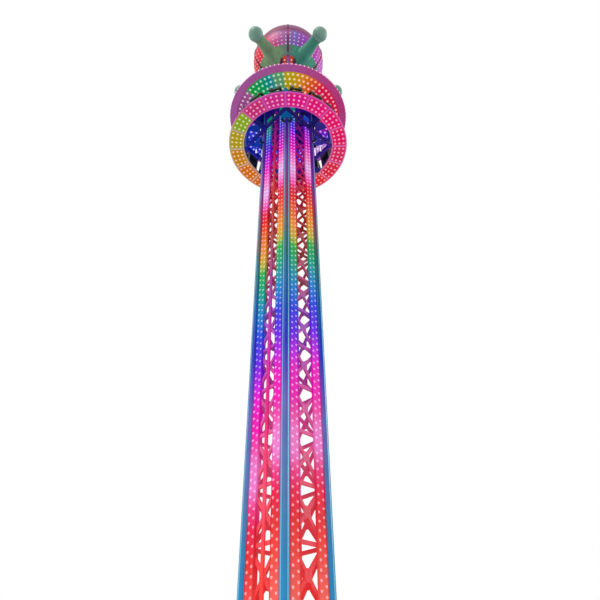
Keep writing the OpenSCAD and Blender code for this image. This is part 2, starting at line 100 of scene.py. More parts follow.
# Sizes read from the frame
BASE_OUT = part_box("base_frame")[1].x
TUBE_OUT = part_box("corner_tubes")[1].x
BEAM_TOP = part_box("corner_tubes")[0].z
HEAD_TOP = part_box("mast_head")[1].z
FACE_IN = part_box("lattice_east")[0].x
FACE_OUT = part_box("lattice_east")[1].x
LATTICE_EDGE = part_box("lattice_east")[1].y
LATTICE_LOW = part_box("lattice_east")[0].z
LATTICE_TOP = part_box("lattice_east")[1].z
STRIP_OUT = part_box("light_strips_east")[1].x
STRIP_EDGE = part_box("light_strips_east")[1].y
STRIP_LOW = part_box("light_strips_east")[0].z
STRIP_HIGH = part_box("light_strips_east")[1].z
DUCT_OUT = -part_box("front_duct")[0].y
DUCT_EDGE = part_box("front_duct")[1].x
RING_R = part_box("ring_deck_1")[1].x
RING_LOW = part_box("ring_deck_1")[0].z
RING_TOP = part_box("ring_deck_1")[1].z
PANEL_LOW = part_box("ring_lights_1")[0].z
CHASSIS_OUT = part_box("chassis_east")[1].y
CHASSIS_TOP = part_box("chassis_east")[1].z
ROLLER_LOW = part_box("guide_rollers")[0].z
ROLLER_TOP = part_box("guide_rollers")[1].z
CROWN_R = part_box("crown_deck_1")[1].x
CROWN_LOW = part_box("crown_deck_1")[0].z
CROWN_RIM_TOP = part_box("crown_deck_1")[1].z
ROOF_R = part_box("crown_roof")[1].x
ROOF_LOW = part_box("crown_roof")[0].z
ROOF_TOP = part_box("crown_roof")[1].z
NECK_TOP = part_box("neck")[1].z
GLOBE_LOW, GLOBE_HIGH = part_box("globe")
GLOBE_R = (GLOBE_HIGH.x - GLOBE_LOW.x) / 2
GLOBE_Z = (GLOBE_HIGH.z + GLOBE_LOW.z) / 2
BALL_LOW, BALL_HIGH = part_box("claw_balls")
BALL_Z = (BALL_LOW.z + BALL_HIGH.z) / 2
BALL_R = (BALL_HIGH.z - BALL_LOW.z) / 2

# Sizes that the frame's boxes don't give
TUBE_R = 0.1
TUBE_C = TUBE_OUT - TUBE_R
BAR_WIDTH = 0.08
BAY = 1.15
STRIP_WIDTH = 0.25
STRIP_SIDE = 0.2
RING_HOLE_R = 1.65
CHASSIS_W = 0.09
RING_LIP = 0.04
RING_LEAN = 0.07
PANELS = 16
PANEL_STEP = 360 / PANELS
CROWN_HOLE_R = 1.25
BORDER = 0.255
COLUMN_R = 0.3
ANCHOR_GRID = 0.22
FOOT_TOP = 0.03
SEAT_BACK_R = 1.765
BACK_LEAN = 0.06
BACK_HEIGHT = 0.62
SEAT_RISE = 0.20
SEAT_WIDTH = 0.47
PAN_LENGTH = 0.34
ROLLER_R = 0.08
ROLLER_GAP = 0.0004
CLAW_TURN = -7.0
CLAW_T = 0.065
BALL_OUT = 2.243

FACE_TURNS = dict(zip(("east", "north", "west", "south"), shared_circle(4)))
TURNS = list(FACE_TURNS.values())
QUARTERS = (1, 2, 3, 4)
ARMS = (1, 2, 3, 4, 5)
ARM_STEP = 360 / len(ARMS)
JOINTS = [CLAW_TURN + ARM_STEP * (k + 0.5) for k in range(len(ARMS))]


def colour(red, green, blue):
    """A screen colour, 0 to 255, as the linear colour that sockets take."""
    linear = []
    for value in (red, green, blue):
        part = value / 255
        linear.append(part / 12.92 if part <= 0.04045 else ((part + 0.055) / 1.055) ** 2.4)
    return (*linear, 1.0)


def grey(value):
    return (value, value, value, 1.0)


# Screen colours, as red, green and blue
SALMON = (244, 112, 100)
CORAL = (226, 44, 52)
CRIMSON = (222, 12, 66)
PINK = (238, 70, 168)
MAGENTA = (232, 8, 190)
ORCHID = (190, 20, 220)
VIOLET = (104, 20, 226)
BLUE = (40, 56, 220)
CYAN = (12, 128, 196)
TEAL = (0, 158, 122)
GREEN = (8, 166, 64)
GREY_GREEN = (96, 166, 110)
OLIVE = (176, 172, 50)
YELLOW = (196, 170, 8)
AMBER = (226, 146, 34)
ORANGE = (230, 96, 26)
RED = (224, 12, 20)
PALE_PINK = (236, 122, 200)
LILAC = (222, 170, 232)

# Linear colours, for mixes
WHITE = colour(255, 246, 255)
DARK = grey(0.02)
# Steel of the roller tracks, pale cyan: worn steel and also a painted highlight of the strips' light
WORN_AND_HIGHLIT_STEEL = colour(120, 190, 214)
UNLIT_GLOBE = colour(122, 26, 80)
UNLIT_FOOT = colour(96, 26, 60)
LIT_FOOT = colour(206, 70, 26)

# Colours of the mast by height: the strips' lamp colours, then painted light on the tubes and the lattice,
# the colours of the strips' light falling on them, and the duct's red paint with that painted light
STRIP_COLOURS = [
    (2.2, SALMON), (3.2, (242, 92, 82)), (3.9, (238, 62, 60)), (4.4, CORAL), (4.9, (230, 30, 76)),
    (5.3, (234, 54, 130)), (5.7, PALE_PINK), (6.2, PALE_PINK), (6.6, PINK), (7.0, (236, 12, 172)),
    (7.8, MAGENTA), (8.2, ORCHID), (8.8, VIOLET), (9.6, BLUE), (10.4, CYAN), (11.2, TEAL),
    (11.9, GREEN), (12.2, OLIVE), (12.7, AMBER), (13.4, ORANGE), (14.1, RED), (14.5, CRIMSON),
    (14.8, PINK), (15.5, LILAC), (16.0, PALE_PINK), (16.7, MAGENTA), (17.4, ORCHID), (17.9, VIOLET),
    (18.3, BLUE), (18.8, CYAN), (19.4, TEAL),
]
TUBE_LIGHT_COLOURS = [
    (0.0, (44, 136, 190)), (3.3, (44, 132, 184)), (4.3, (62, 122, 172)), (4.9, (82, 118, 170)),
    (6.9, (100, 96, 174)), (7.6, (86, 70, 178)), (8.5, (34, 48, 174)), (9.3, (0, 64, 166)),
    (10.4, (0, 90, 154)), (11.5, (0, 102, 104)), (12.3, (58, 88, 90)), (12.9, (102, 68, 76)),
    (14.1, (128, 30, 88)), (15.7, (104, 46, 148)), (17.4, (92, 32, 164)), (19.5, (52, 40, 170)),
]
LATTICE_LIGHT_COLOURS = [
    (0.0, (240, 58, 56)), (3.0, (238, 64, 64)), (5.0, (226, 84, 104)), (6.5, (216, 92, 156)),
    (8.0, (190, 70, 160)), (9.6, (150, 80, 190)), (10.6, (180, 80, 130)), (12.0, (168, 76, 84)),
    (13.6, (160, 40, 36)), (15.0, (184, 10, 50)), (17.0, (180, 6, 130)), (19.5, (50, 20, 170)),
]
DUCT_PAINT_AND_LIGHT_COLOURS = [
    (0.0, (244, 66, 34)), (3.6, (240, 62, 56)), (5.0, (232, 70, 106)), (6.5, (222, 30, 110)),
    (8.5, (196, 30, 160)), (10.5, (140, 50, 150)), (12.5, (158, 62, 66)), (14.5, (186, 26, 24)),
    (17.0, (190, 16, 96)), (19.5, (150, 20, 150)),
]

# Colours of the gondola round the mast, in degrees from +X: the camera stands at -42. The chassis and the
# brackets are blue paint and the ring's shell pink, each with painted light, the colours of the lamps' light
# falling on each side; the tube lamps' lenses are lamps
CHASSIS_PAINT_AND_LIGHT_COLOURS = [
    (0, (30, 20, 112)), (48, (54, 24, 130)), (138, (28, 22, 124)), (228, (14, 24, 158)),
    (290, (10, 24, 100)), (340, (18, 20, 104)),
]
BRACKET_PAINT_AND_LIGHT_COLOURS = [
    (0, (12, 88, 176)), (48, (60, 50, 168)), (138, (22, 40, 168)), (228, (8, 66, 190)),
    (268, (0, 128, 188)), (318, (0, 108, 176)),
]
TUBE_LENS_COLOURS = [
    (0, LILAC), (120, LILAC), (228, (140, 170, 250)), (290, (190, 220, 250)), (340, LILAC),
]
RING_SHELL_PAINT_AND_LIGHT_COLOURS = [
    (0, (236, 90, 180)), (48, (236, 110, 184)), (90, (238, 132, 172)), (130, (236, 140, 148)),
    (170, (232, 172, 138)), (200, (224, 184, 148)), (228, (206, 194, 160)), (250, (206, 180, 150)),
    (262, (222, 120, 160)), (280, (214, 90, 180)), (318, (216, 82, 190)), (340, (230, 80, 180)),
]

# One colour for each panel of the ring, from the panel after +X round to the last
PANEL_COLOURS = [
    (228, 4, 108), (224, 12, 98), (216, 36, 96), (218, 30, 66), (224, 30, 44), (222, 46, 30),
    (222, 78, 12), (216, 96, 6), (210, 112, 0), (200, 132, 0), (178, 156, 8), (138, 170, 26),
    (198, 44, 118), (206, 40, 136), (220, 16, 132), (228, 6, 120),
]
RING_COLOURS = [(k * PANEL_STEP, tint) for k, tint in enumerate(PANEL_COLOURS)]

# Colours of the crown, the globe and the claw round the mast; the globe's are its lamps' colours, also
# painted on its shell as their light
CROWN_BAND_COLOURS = [
    (0, (226, 20, 80)), (50, CRIMSON), (70, VIOLET), (90, LILAC), (120, VIOLET), (160, BLUE),
    (205, BLUE), (232, (150, 60, 130)), (264, (166, 90, 150)), (269, GREEN), (284, (4, 162, 96)),
    (297, (0, 150, 156)), (302, GREY_GREEN), (312, GREY_GREEN), (314, YELLOW), (322, YELLOW),
    (334, AMBER), (346, ORANGE), (354, (230, 70, 44)), (359, (226, 24, 76)),
]
CROWN_SHELL_COLOURS = [
    (0, (222, 76, 152)), (30, (216, 62, 140)), (90, (190, 96, 186)), (230, (194, 106, 184)),
    (318, (198, 102, 176)), (350, (214, 84, 160)),
]
GLOBE_COLOURS = [
    (0, (188, 10, 164)), (64, (176, 16, 190)), (66, (150, 20, 190)), (136, (130, 24, 190)),
    (138, (190, 30, 110)), (206, (214, 14, 34)), (210, (220, 12, 28)), (278, (224, 14, 60)),
    (286, (200, 40, 116)), (304, (172, 72, 140)), (317, (134, 98, 164)), (330, (124, 92, 176)),
    (343, (150, 60, 176)),
]
CLAW_COLOURS = [
    (0, (82, 174, 142)), (40, (90, 172, 144)), (120, (112, 160, 138)), (230, (134, 164, 114)),
    (300, (136, 172, 124)), (316, (120, 158, 144)), (330, (82, 172, 142)),
]

# Colours of the globe's seams by height: dark maroon with painted light, brighter red beside the globe's rows
# of lamps where their light falls, lilac at the foot
SEAM_PAINT_AND_LIGHT_COLOURS = [
    (GLOBE_Z - GLOBE_R, (160, 104, 176)), (GLOBE_Z - 1.3, (150, 90, 160)), (GLOBE_Z - 1.2, (98, 26, 60)),
    (GLOBE_Z - 0.56, (104, 24, 56)), (GLOBE_Z - 0.46, (196, 62, 76)), (GLOBE_Z - 0.26, (208, 36, 62)),
    (GLOBE_Z - 0.1, (90, 26, 70)), (GLOBE_Z + GLOBE_R, (90, 26, 70)),
]


def operation(kind, swapped=False):
    """A method that adds a Math node of that kind, fed by the value and what it is given."""
    def method(self, *others):
        terms = (self, *others)
        inputs = dict(enumerate(terms[::-1] if swapped else terms))
        return self.tree.node("ShaderNodeMath", {"operation": kind}, inputs)
    return method


class Value:
    """What a socket gives, for sums written as Python."""

    def __init__(self, tree, socket):
        self.tree = tree
        self.socket = socket

    __add__ = __radd__ = operation("ADD")
    __sub__ = operation("SUBTRACT")
    __rsub__ = operation("SUBTRACT", swapped=True)
    __mul__ = __rmul__ = operation("MULTIPLY")
    __truediv__ = operation("DIVIDE")
    __gt__ = operation("GREATER_THAN")
    __lt__ = operation("LESS_THAN")
    __abs__ = operation("ABSOLUTE")
    # The part after the point, so that a pattern repeats at every whole number
    wrapped = operation("FRACT")
    # The angle whose tangent is this value over the other
    turned_from = operation("ARCTAN2")
    either = operation("MAXIMUM")


class Tree:
    """The nodes of a material or a world."""

    def __init__(self, owner):
        owner.use_nodes = True
        self.nodes = owner.node_tree.nodes
        self.links = owner.node_tree.links

    def node(self, kind, settings, inputs, output=0):
        """Adds a node of that kind, sets it up, feeds its sockets and gives back one output."""
        made = self.nodes.new(kind)
        for name, value in settings.items():
            if name == "stops":
                fill_ramp(made.color_ramp, *value)
            else:
                setattr(made, name, value)
        for socket, value in inputs.items():
            if isinstance(value, Value):
                self.links.new(value.socket, made.inputs[socket])
            else:
                made.inputs[socket].default_value = value
        return Value(self, made.outputs[output])


def fill_ramp(ramp, stops, interpolation):
    """Gives a colour ramp its stops, which are (place, colour) pairs in order."""
    ramp.interpolation = interpolation
    while len(ramp.elements) > 1:
        ramp.elements.remove(ramp.elements[-1])
    ramp.elements[0].position, ramp.elements[0].color = stops[0]
    for place, tint in stops[1:]:
        ramp.elements.new(place).color = tint


class Finish(Tree):
    """A material of one Principled shader, and the nodes that feed it."""

    def __init__(self, name, **settings):
        self.material = bpy.data.materials.new(name)
        super().__init__(self.material)
        self.shader = self.nodes["Principled BSDF"]
        for socket, value in settings.items():
            title = socket.replace("_", " ").title().replace("Ior", "IOR")
            self.shader.inputs[title].default_value = value
        self.place = self.node("ShaderNodeTexCoord", {}, {}, "Object")

    def feed(self, socket, value):
        self.links.new(value.socket, self.shader.inputs[socket])

    def axes(self):
        """The three coordinates of the point, in metres."""
        parts = self.node("ShaderNodeSeparateXYZ", {}, {0: self.place}, "X")
        return [Value(self, parts.socket.node.outputs[axis]) for axis in "XYZ"]

    def azimuth(self):
        """The direction of the point from the mast's axis, from 0 to 1 round the circle."""
        x, y, _ = self.axes()
        return (y.turned_from(x) / math.tau + 1).wrapped()

    def ramp(self, factor, stops, interpolation="LINEAR"):
        return self.node("ShaderNodeValToRGB", {"stops": (stops, interpolation)}, {"Fac": factor}, "Color")

    def noise(self, scale, detail=3.0):
        inputs = {"Vector": self.place, "Scale": scale, "Detail": detail}
        return self.node("ShaderNodeTexNoise", {}, inputs, "Fac")

    def clouds(self, scale, detail, dark, light=1.0, interpolation="EASE", edge=0.3):
        """Soft patches between two greys."""
        stops = [(edge, grey(dark)), (1 - edge, grey(light))]
        return self.ramp(self.noise(scale, detail), stops, interpolation)

    def around(self, middle, spread, scale, detail=3.0):
        """A value that strays round its middle in soft patches."""
        return middle - spread / 2 + self.noise(scale, detail) * spread

    def mix(self, factor, first, second, blend_type="MIX"):
        settings = {"data_type": "RGBA", "blend_type": blend_type}
        return self.node("ShaderNodeMix", settings, {0: factor, 6: first, 7: second}, 2)

    def shaded(self, tint, shade):
        """A colour darkened by a grey one."""
        return self.mix(1.0, tint, shade, "MULTIPLY")

    def bump(self, height, distance):
        inputs = {"Height": height, "Distance": distance, "Strength": 0.4}
        self.feed("Normal", self.node("ShaderNodeBump", {}, inputs, "Normal"))

    def glow(self, tint, strength):
        self.feed("Emission Color", tint)
        self.shader.inputs["Emission Strength"].default_value = strength


# The strips on the far sides show the same colours at other heights
FAR_LAG = 0.6
FAR_STRETCH = 0.045


def by_height(table, lagging=False):
    """A tint that follows a table of (height, colour), which the strips on two sides lag behind."""
    low = table[0][0]
    span = table[-1][0] - low
    stops = [((level - low) / span, colour(*tint)) for level, tint in table]

    def tint_at(finish):
        x, y, height = finish.axes()
        if lagging:
            height = height * (1 - (y > STRIP_SIDE) * FAR_STRETCH) + (x < -STRIP_SIDE) * FAR_LAG
        return finish.ramp((height - low) / span, stops)

    return tint_at


def round_mast(table, interpolation="LINEAR"):
    """A tint that follows a table of (direction in degrees, colour) round the mast."""
    stops = [(degrees / 360, colour(*tint)) for degrees, tint in table]
    return lambda finish: finish.ramp(finish.azimuth(), stops, interpolation)


def tint_of(finish, tint):
    """What a tint gives, or one screen colour all over."""
    return tint(finish) if callable(tint) else colour(*tint)


def painted(name, tint, roughness=0.42, wear_and_highlight=None, lit=0.0):
    """Shop paint on steel: faint mottling, uneven gloss, a fine orange peel, and the lamps' light on it as a
    painted glow.
    """
    finish = Finish(name, specular_ior_level=0.14)
    base = finish.shaded(tint_of(finish, tint), finish.clouds(1.7, 5.0, dark=0.88))
    gloss = finish.around(roughness, spread=0.16, scale=6.0)
    # The tracks are worn steel and also a painted highlight: paler lines where the strips' light glints on
    # the tubes
    if wear_and_highlight:
        polish_and_highlight = wear_and_highlight(finish)
        base = finish.mix(polish_and_highlight, base, WORN_AND_HIGHLIT_STEEL)
        gloss = gloss - polish_and_highlight * 0.1
        finish.feed("Metallic", polish_and_highlight * 0.3)
    finish.feed("Base Color", base)
    # Painted light: the paint glows in its own colour, standing in for the lamps' light that falls on it
    if lit:
        finish.glow(base, lit)
    finish.feed("Roughness", gloss)
    finish.bump(finish.noise(220.0, 2.0), 0.0006)
    return finish.material


def moulded(name, tint, roughness=0.31, mottle=0.2):
    """A moulded plastic shell: soft cloudy shading and a satin skin."""
    finish = Finish(name, specular_ior_level=0.25, coat_weight=0.06, coat_roughness=0.25)
    shade = finish.clouds(1.3, 4.0, dark=1 - mottle, edge=0.32)
    finish.feed("Base Color", finish.shaded(tint_of(finish, tint), shade))
    finish.feed("Roughness", finish.around(roughness, spread=0.14, scale=9.0, detail=4.0))
    finish.bump(finish.noise(70.0, 2.0) * 0.2, 0.002)
    return finish.material


def lit_panel(name, tint, strength=0.5, depth=0.6):
    """A moulded light panel that glows in its own colour; on the strips' rails and on the ring's and the
    crown's shells, which are no lamps, the glow is painted light.
    """
    finish = Finish(name, roughness=0.45, specular_ior_level=0.12)
    base = tint(finish)
    shade = finish.clouds(9.0, 4.0, depth * 0.8, depth, "LINEAR")
    finish.feed("Base Color", finish.shaded(base, shade))
    finish.glow(base, strength)
    finish.bump(finish.noise(160.0, 2.0), 0.0008)
    return finish.material


def lamp_lens(name, tint, whiteness, strength):
    """A lamp lens: the panel's colour, brighter and paler."""
    finish = Finish(name, roughness=0.22, specular_ior_level=0.2)
    base = tint(finish)
    finish.feed("Base Color", finish.shaded(base, grey(0.3)))
    finish.glow(finish.mix(whiteness, finish.mix(1.0, base, base, "SCREEN"), WHITE), strength)
    return finish.material


def lamp_collar(name, tint, whiteness=0.14, strength=0.72):
    """The ring round a lamp lens, lit by the lamp in the panel's own colour."""
    finish = Finish(name, roughness=0.4)
    base = tint(finish)
    finish.feed("Base Color", finish.shaded(base, grey(0.5)))
    finish.glow(finish.mix(whiteness, base, WHITE), strength)
    return finish.material


def bare_steel(name, tint):
    """Zinc-plated steel with dull patches."""
    finish = Finish(name, metallic=0.75)
    shade = finish.clouds(14.0, 5.0, dark=0.7, interpolation="LINEAR")
    finish.feed("Base Color", finish.shaded(tint_of(finish, tint), shade))
    finish.feed("Roughness", finish.around(0.4, spread=0.2, scale=25.0))
    finish.bump(finish.noise(300.0, 2.0), 0.0004)
    return finish.material


def padding(name, tint):
    """Foam skin with a fine grain."""
    finish = Finish(name, specular_ior_level=0.3, sheen_weight=0.1)
    finish.feed("Base Color", finish.shaded(tint_of(finish, tint), finish.clouds(7.0, 4.0, dark=0.72)))
    finish.feed("Roughness", finish.around(0.6, spread=0.2, scale=18.0))
    grain = finish.node("ShaderNodeTexVoronoi", {}, {"Vector": finish.place, "Scale": 420.0}, "Distance")
    finish.bump(grain, 0.0008)
    return finish.material


# Half the width of the band that a guide roller polishes
TRACK_HALF = 0.014


def roller_tracks_and_highlights(finish):
    """Where the guide rollers polish the tubes, also a painted highlight of the strips' light glinting on
    them: a band on each tube's two outer sides.
    """
    x, y, _ = finish.axes()
    off_x = abs(abs(x) - TUBE_C)
    off_y = abs(abs(y) - TUBE_C)
    on_x_side = (off_y < TRACK_HALF) * (abs(x) > TUBE_C)
    on_y_side = (off_x < TRACK_HALF) * (abs(y) > TUBE_C)
    return (on_x_side + on_y_side > 0.5) * finish.around(0.8, spread=0.5, scale=3.0, detail=6.0)


# The globe: its joints, the edge of its foot, and how far the light reaches round each claw joint
GLOBE_JOINTS = (GLOBE_Z, GLOBE_Z + GLOBE_R * 0.6, GLOBE_Z - GLOBE_R * 0.86)
JOINT_HALF = 0.005
FOOT_Z = GLOBE_Z - GLOBE_R * 0.75
FOOT_LIT = 15.0
LIGHT_END = GLOBE_Z - GLOBE_R * 0.17
LIGHT_FADE = GLOBE_R * 0.09


def globe_joints(finish):
    """Thin lines on the globe where its shell pieces meet: at the equator and two latitudes."""
    z = finish.axes()[2]
    equator, upper, lower = [abs(z - level) < JOINT_HALF for level in GLOBE_JOINTS]
    return equator + upper + lower


def off_joint(finish):
    """How far a point lies round the mast from the nearest joint of the claw, in degrees."""
    steps = finish.azimuth() * len(ARMS) + (1.5 - JOINTS[0] / ARM_STEP)
    return abs(steps.wrapped() - 0.5) * ARM_STEP


def above_lamps(finish):
    """Rises from 0 at the globe's top row of lamps to 1 a little higher, where their light ends."""
    high = (finish.axes()[2] - LIGHT_END) / LIGHT_FADE
    return finish.ramp(high, [(0.0, grey(0.0)), (1.0, grey(1.0))], "EASE")


def globe_base(finish):
    """The globe's colour, its lamps' light painted on: their colours round the mast beside the lamps, plum
    above them where the light ends, orange under the joints beside the lower lamps, and dark plum as painted
    shade elsewhere at the foot.
    """
    side = finish.mix(above_lamps(finish) * 0.85, globe_tint(finish), UNLIT_GLOBE)
    foot = finish.mix(off_joint(finish) < FOOT_LIT, UNLIT_FOOT, LIT_FOOT)
    return finish.mix(finish.axes()[2] < FOOT_Z, side, foot)


def globe_lamp_tint(finish):
    """The globe's colour, and orange for the lamps under the collar."""
    return finish.mix(finish.axes()[2] < FOOT_Z, globe_tint(finish), colour(*ORANGE))


def globe_finish():
    """The globe's shell, its lamps' light painted on and as a glow, grooved at its joints."""
    finish = Finish("globe_shell", specular_ior_level=0.3)
    base = globe_base(finish)
    line = globe_joints(finish)
    shade = finish.clouds(2.0, 4.0, 0.5, 0.7, "LINEAR")
    finish.feed("Base Color", finish.mix(line, finish.shaded(base, shade), DARK))
    finish.feed("Roughness", finish.around(0.4, spread=0.12, scale=12.0))
    finish.glow(finish.mix(line, base, grey(0.0)), 0.38)
    finish.bump(finish.noise(90.0, 2.0) * 0.2 - line, 0.002)
    return finish.material


strip_tint = by_height(STRIP_COLOURS, lagging=True)
band_tint = round_mast(CROWN_BAND_COLOURS)
crown_tint = round_mast(CROWN_SHELL_COLOURS)
ring_tint = round_mast(RING_COLOURS, "CONSTANT")
globe_tint = round_mast(GLOBE_COLOURS)

# Finishes of the mast
# Painted light: the tubes, the lattice and the duct take the colours of the strips' light by height
tube_material = painted("tube_paint", by_height(TUBE_LIGHT_COLOURS), 0.36, wear_and_highlight=roller_tracks_and_highlights, lit=0.12)
lattice_material = painted("lattice_paint", by_height(LATTICE_LIGHT_COLOURS), lit=0.2)
duct_material = painted("duct_paint", by_height(DUCT_PAINT_AND_LIGHT_COLOURS), lit=0.25)
base_material = painted("base_paint", (70, 72, 80))
head_material = painted("head_paint", (104, 108, 124))
bolt_material = bare_steel("zinc_bolts", (170, 172, 178))
strip_panel = lit_panel("strip_panel", strip_tint)
# The rails are no lamps: their glow in the strips' colours is painted light
rail_material = lit_panel("strip_rail", strip_tint, 0.45, 0.5)

# Finishes of the gondola
# The chassis and the brackets: blue paint with the lamps' light painted on round the mast, and a painted glow
chassis_material = painted("chassis_paint", round_mast(CHASSIS_PAINT_AND_LIGHT_COLOURS), lit=0.2)
bracket_material = painted("bracket_paint", round_mast(BRACKET_PAINT_AND_LIGHT_COLOURS), lit=0.25)
tube_lens = lamp_lens("tube_lens", round_mast(TUBE_LENS_COLOURS), 0.8, 1.0)
ring_panel = lit_panel("ring_panel", ring_tint)
# The ring's shell is no lamp: its glow is painted light of the ring's lamps
ring_material = lit_panel("ring_shell", round_mast(RING_SHELL_PAINT_AND_LIGHT_COLOURS), 0.25, 0.8)
roller_material = painted("roller_tread", (36, 36, 38), 0.7)
tread_material = painted("tread_plate", (150, 96, 130), 0.5)
seat_material = moulded("seat_shell", (30, 40, 26))
cushion_material = padding("seat_skin", (30, 44, 34))
# The pads' dark green is partly painted light: the green of the crown's lamps falling on dark padding
pad_material = padding("restraint_pad", (34, 50, 22))
rubber_material = padding("edge_rubber", (30, 30, 44))

# Finishes of the crown, the globe and the claw
# The ribs' saturated blue is partly painted light, the crown's blue lamp light on them, and their glow is
# painted light
rib_material = painted("rib_paint", (28, 34, 190), lit=0.2)
crown_panel = lit_panel("crown_panel", band_tint)
# The crown's shell is no lamp: its glow is painted light of the crown's lamps
crown_material = lit_panel("crown_shell", crown_tint, 0.3, 0.6)
roof_material = moulded("roof_shell", (30, 38, 168))
trim_material = moulded("crown_trim", (206, 100, 176), 0.29, 0.1)
globe_material = globe_finish()
seam_material = painted("seam_trim", by_height(SEAM_PAINT_AND_LIGHT_COLOURS), lit=0.15)
claw_material = moulded("claw_shell", round_mast(CLAW_COLOURS), 0.35, 0.35)
ball_material = moulded("ball_shell", (136, 180, 160), 0.35, 0.3)


def dress(material, *names):
    """Gives CAD nodes their finish."""
    for name in names:
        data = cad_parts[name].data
        data.materials.clear()
        data.materials.append(material)


def with_ends(stem, ends):
    return [f"{stem}_{end}" for end in ends]


dress(base_material, "base_frame")
dress(tube_material, "corner_tubes")
dress(lattice_material, *with_ends("lattice", FACE_TURNS))
dress(strip_panel, *with_ends("light_strips", FACE_TURNS))
dress(duct_material, "front_duct")
dress(head_material, "mast_head", "neck")
dress(crown_material, *with_ends("crown_deck", QUARTERS))
dress(crown_panel, *with_ends("crown_lights", QUARTERS))
dress(rib_material, "crown_ribs")
dress(roof_material, "crown_roof")
dress(globe_material, "globe")
dress(seam_material, "globe_seams")
dress(claw_material, *with_ends("claw", ARMS))
dress(ball_material, "claw_balls")
dress(ring_material, *with_ends("ring_deck", QUARTERS))
dress(ring_panel, *with_ends("ring_lights", QUARTERS))
dress(chassis_material, *with_ends("chassis", FACE_TURNS))
dress(bracket_material, "guide_brackets")
dress(roller_material, "guide_rollers")
dress(seat_material, "seat_wings", *with_ends("seats", QUARTERS))
dress(pad_material, "lap_bars", *with_ends("restraints", QUARTERS))


def mesh_of(name, bm):
    """Turns a bmesh into a mesh."""
    mesh = bpy.data.meshes.new(name)
    bm.to_mesh(mesh)
    bm.free()
    return mesh


def add_object(name, data):
    made = bpy.data.objects.new(name, data)
    bpy.context.scene.collection.objects.link(made)
    return made


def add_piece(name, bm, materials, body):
    """Turns a bmesh into a piece of the object that rides on a body."""
    piece = add_object(name, mesh_of(name, bm))
    for material in materials:
        piece.data.materials.append(material)
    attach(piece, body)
    return piece


def skin(bm, stations, sides, finishes=None):
    """A closed skin through a circle of radius 1 set at each station, pointed at the last end."""
    ring = bmesh.ops.create_circle(bm, segments=sides, radius=1.0, cap_ends=True)["verts"]
    corners = [v.co.copy() for v in ring]
    made = list(ring[0].link_faces)
    loop = list({e for v in ring for e in v.link_edges if all(o in ring for o in e.verts)})
    for vert, corner in zip(ring, corners):
        vert.co = stations[0] @ corner
    order = list(ring)
    for level, station in enumerate(stations[1:]):
        grown = bmesh.ops.extrude_edge_only(bm, edges=loop)["geom"]
        loop = [g for g in grown if isinstance(g, bmesh.types.BMEdge)]
        faces = [g for g in grown if isinstance(g, bmesh.types.BMFace)]
        fresh = {g for g in grown if isinstance(g, bmesh.types.BMVert)}
        following = []
        for vert in order:
            follower = next(e.other_vert(vert) for e in vert.link_edges if e.other_vert(vert) in fresh)
            following.append(follower)
        for vert, corner in zip(following, corners):
            vert.co = station @ corner
        for face in faces:
            face.material_index = finishes[level] if finishes else 0
        made += faces
        order = following
    cap = bmesh.ops.contextual_create(bm, geom=loop)["faces"]
    poked = bmesh.ops.poke(bm, faces=cap)
    for face in poked["faces"]:
        face.material_index = finishes[-1] if finishes else 0
    made += poked["faces"]
    bmesh.ops.recalc_face_normals(bm, faces=made)
    return poked["verts"][0]


def lathe(bm, rings, sides, finishes=None, place=Matrix()):
    """A closed skin through circles along Z, from (radius, height) pairs."""
    return skin(bm, [place @ at(0, 0, height) @ wide(r, r) for r, height in rings], sides, finishes)


def block(bm, x, y, z, bevel=0.0, place=Matrix()):
    """A box between two values of X, Y and Z, with its edges bevelled, moved by a placing matrix."""
    low, high = [Vector(corner) for corner in zip(x, y, z)]
    matrix = place @ Matrix.Translation((low + high) / 2) @ wide(*(high - low))
    made = bmesh.ops.create_cube(bm, size=1.0, matrix=matrix)["verts"]
    if bevel:
        edges = list({e for v in made for e in v.link_edges})
        bmesh.ops.bevel(
            bm, geom=edges, offset=bevel, segments=1, profile=0.5, affect="EDGES", material=-1
        )


def hoop(bm, radius, height, thick, tall, steps):
    """A ring of square bar round the mast."""
    section = at(radius, 0, height) @ turned(90, "X") @ wide(thick, tall)
    profile = bmesh.ops.create_grid(bm, x_segments=1, y_segments=1, size=0.5, matrix=section)["verts"]
    face = profile[0].link_faces[0]
    bmesh.ops.spin(
        bm, geom=list(face.edges), cent=(0, 0, 0), axis=(0, 0, 1),
        angle=math.tau, steps=steps, use_merge=True,
    )
    bmesh.ops.delete(bm, geom=[face], context="FACES_ONLY")


def pattern(name, build):
    """A small mesh that is copied to many places."""
    bm = bmesh.new()
    build(bm)
    return mesh_of(name, bm)


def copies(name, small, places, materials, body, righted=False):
    """One piece of many copies of a small mesh, with its faces turned outwards where asked."""
    bm = bmesh.new()
    for place in places:
        one = small.copy()
        one.transform(place)
        bm.from_mesh(one)
        bpy.data.meshes.remove(one)
    if righted:
        bmesh.ops.recalc_face_normals(bm, faces=bm.faces)
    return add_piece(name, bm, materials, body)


LAMP_R = 0.03
LAMP_H = 0.03
LAMP_SIDES = 10
LAMP_GLOW = 0.85
# Radius and height of each ring of a lamp and of a bolt, in shares of their size
LAMP_RINGS = [(1.3, 0.0), (1.3, 0.16), (1.0, 0.34), (0.9, 0.62), (0.55, 0.92)]
BOLT_RINGS = [(1.0, 0.0), (1.0, 0.22), (0.66, 0.22), (0.66, 0.78), (0.52, 0.9)]


def build_lamp(bm):
    """A lamp that stands on the origin with its lens along Z: a collar and a domed lens."""
    tip = lathe(bm, [(LAMP_R * r, LAMP_H * height) for r, height in LAMP_RINGS], LAMP_SIDES, [0, 0, 1, 1])
    tip.co.z = LAMP_H


def build_bolt(bm):
    """A hexagon head on its washer, along Z, 1 wide across the washer's radius."""
    lathe(bm, BOLT_RINGS, 6)


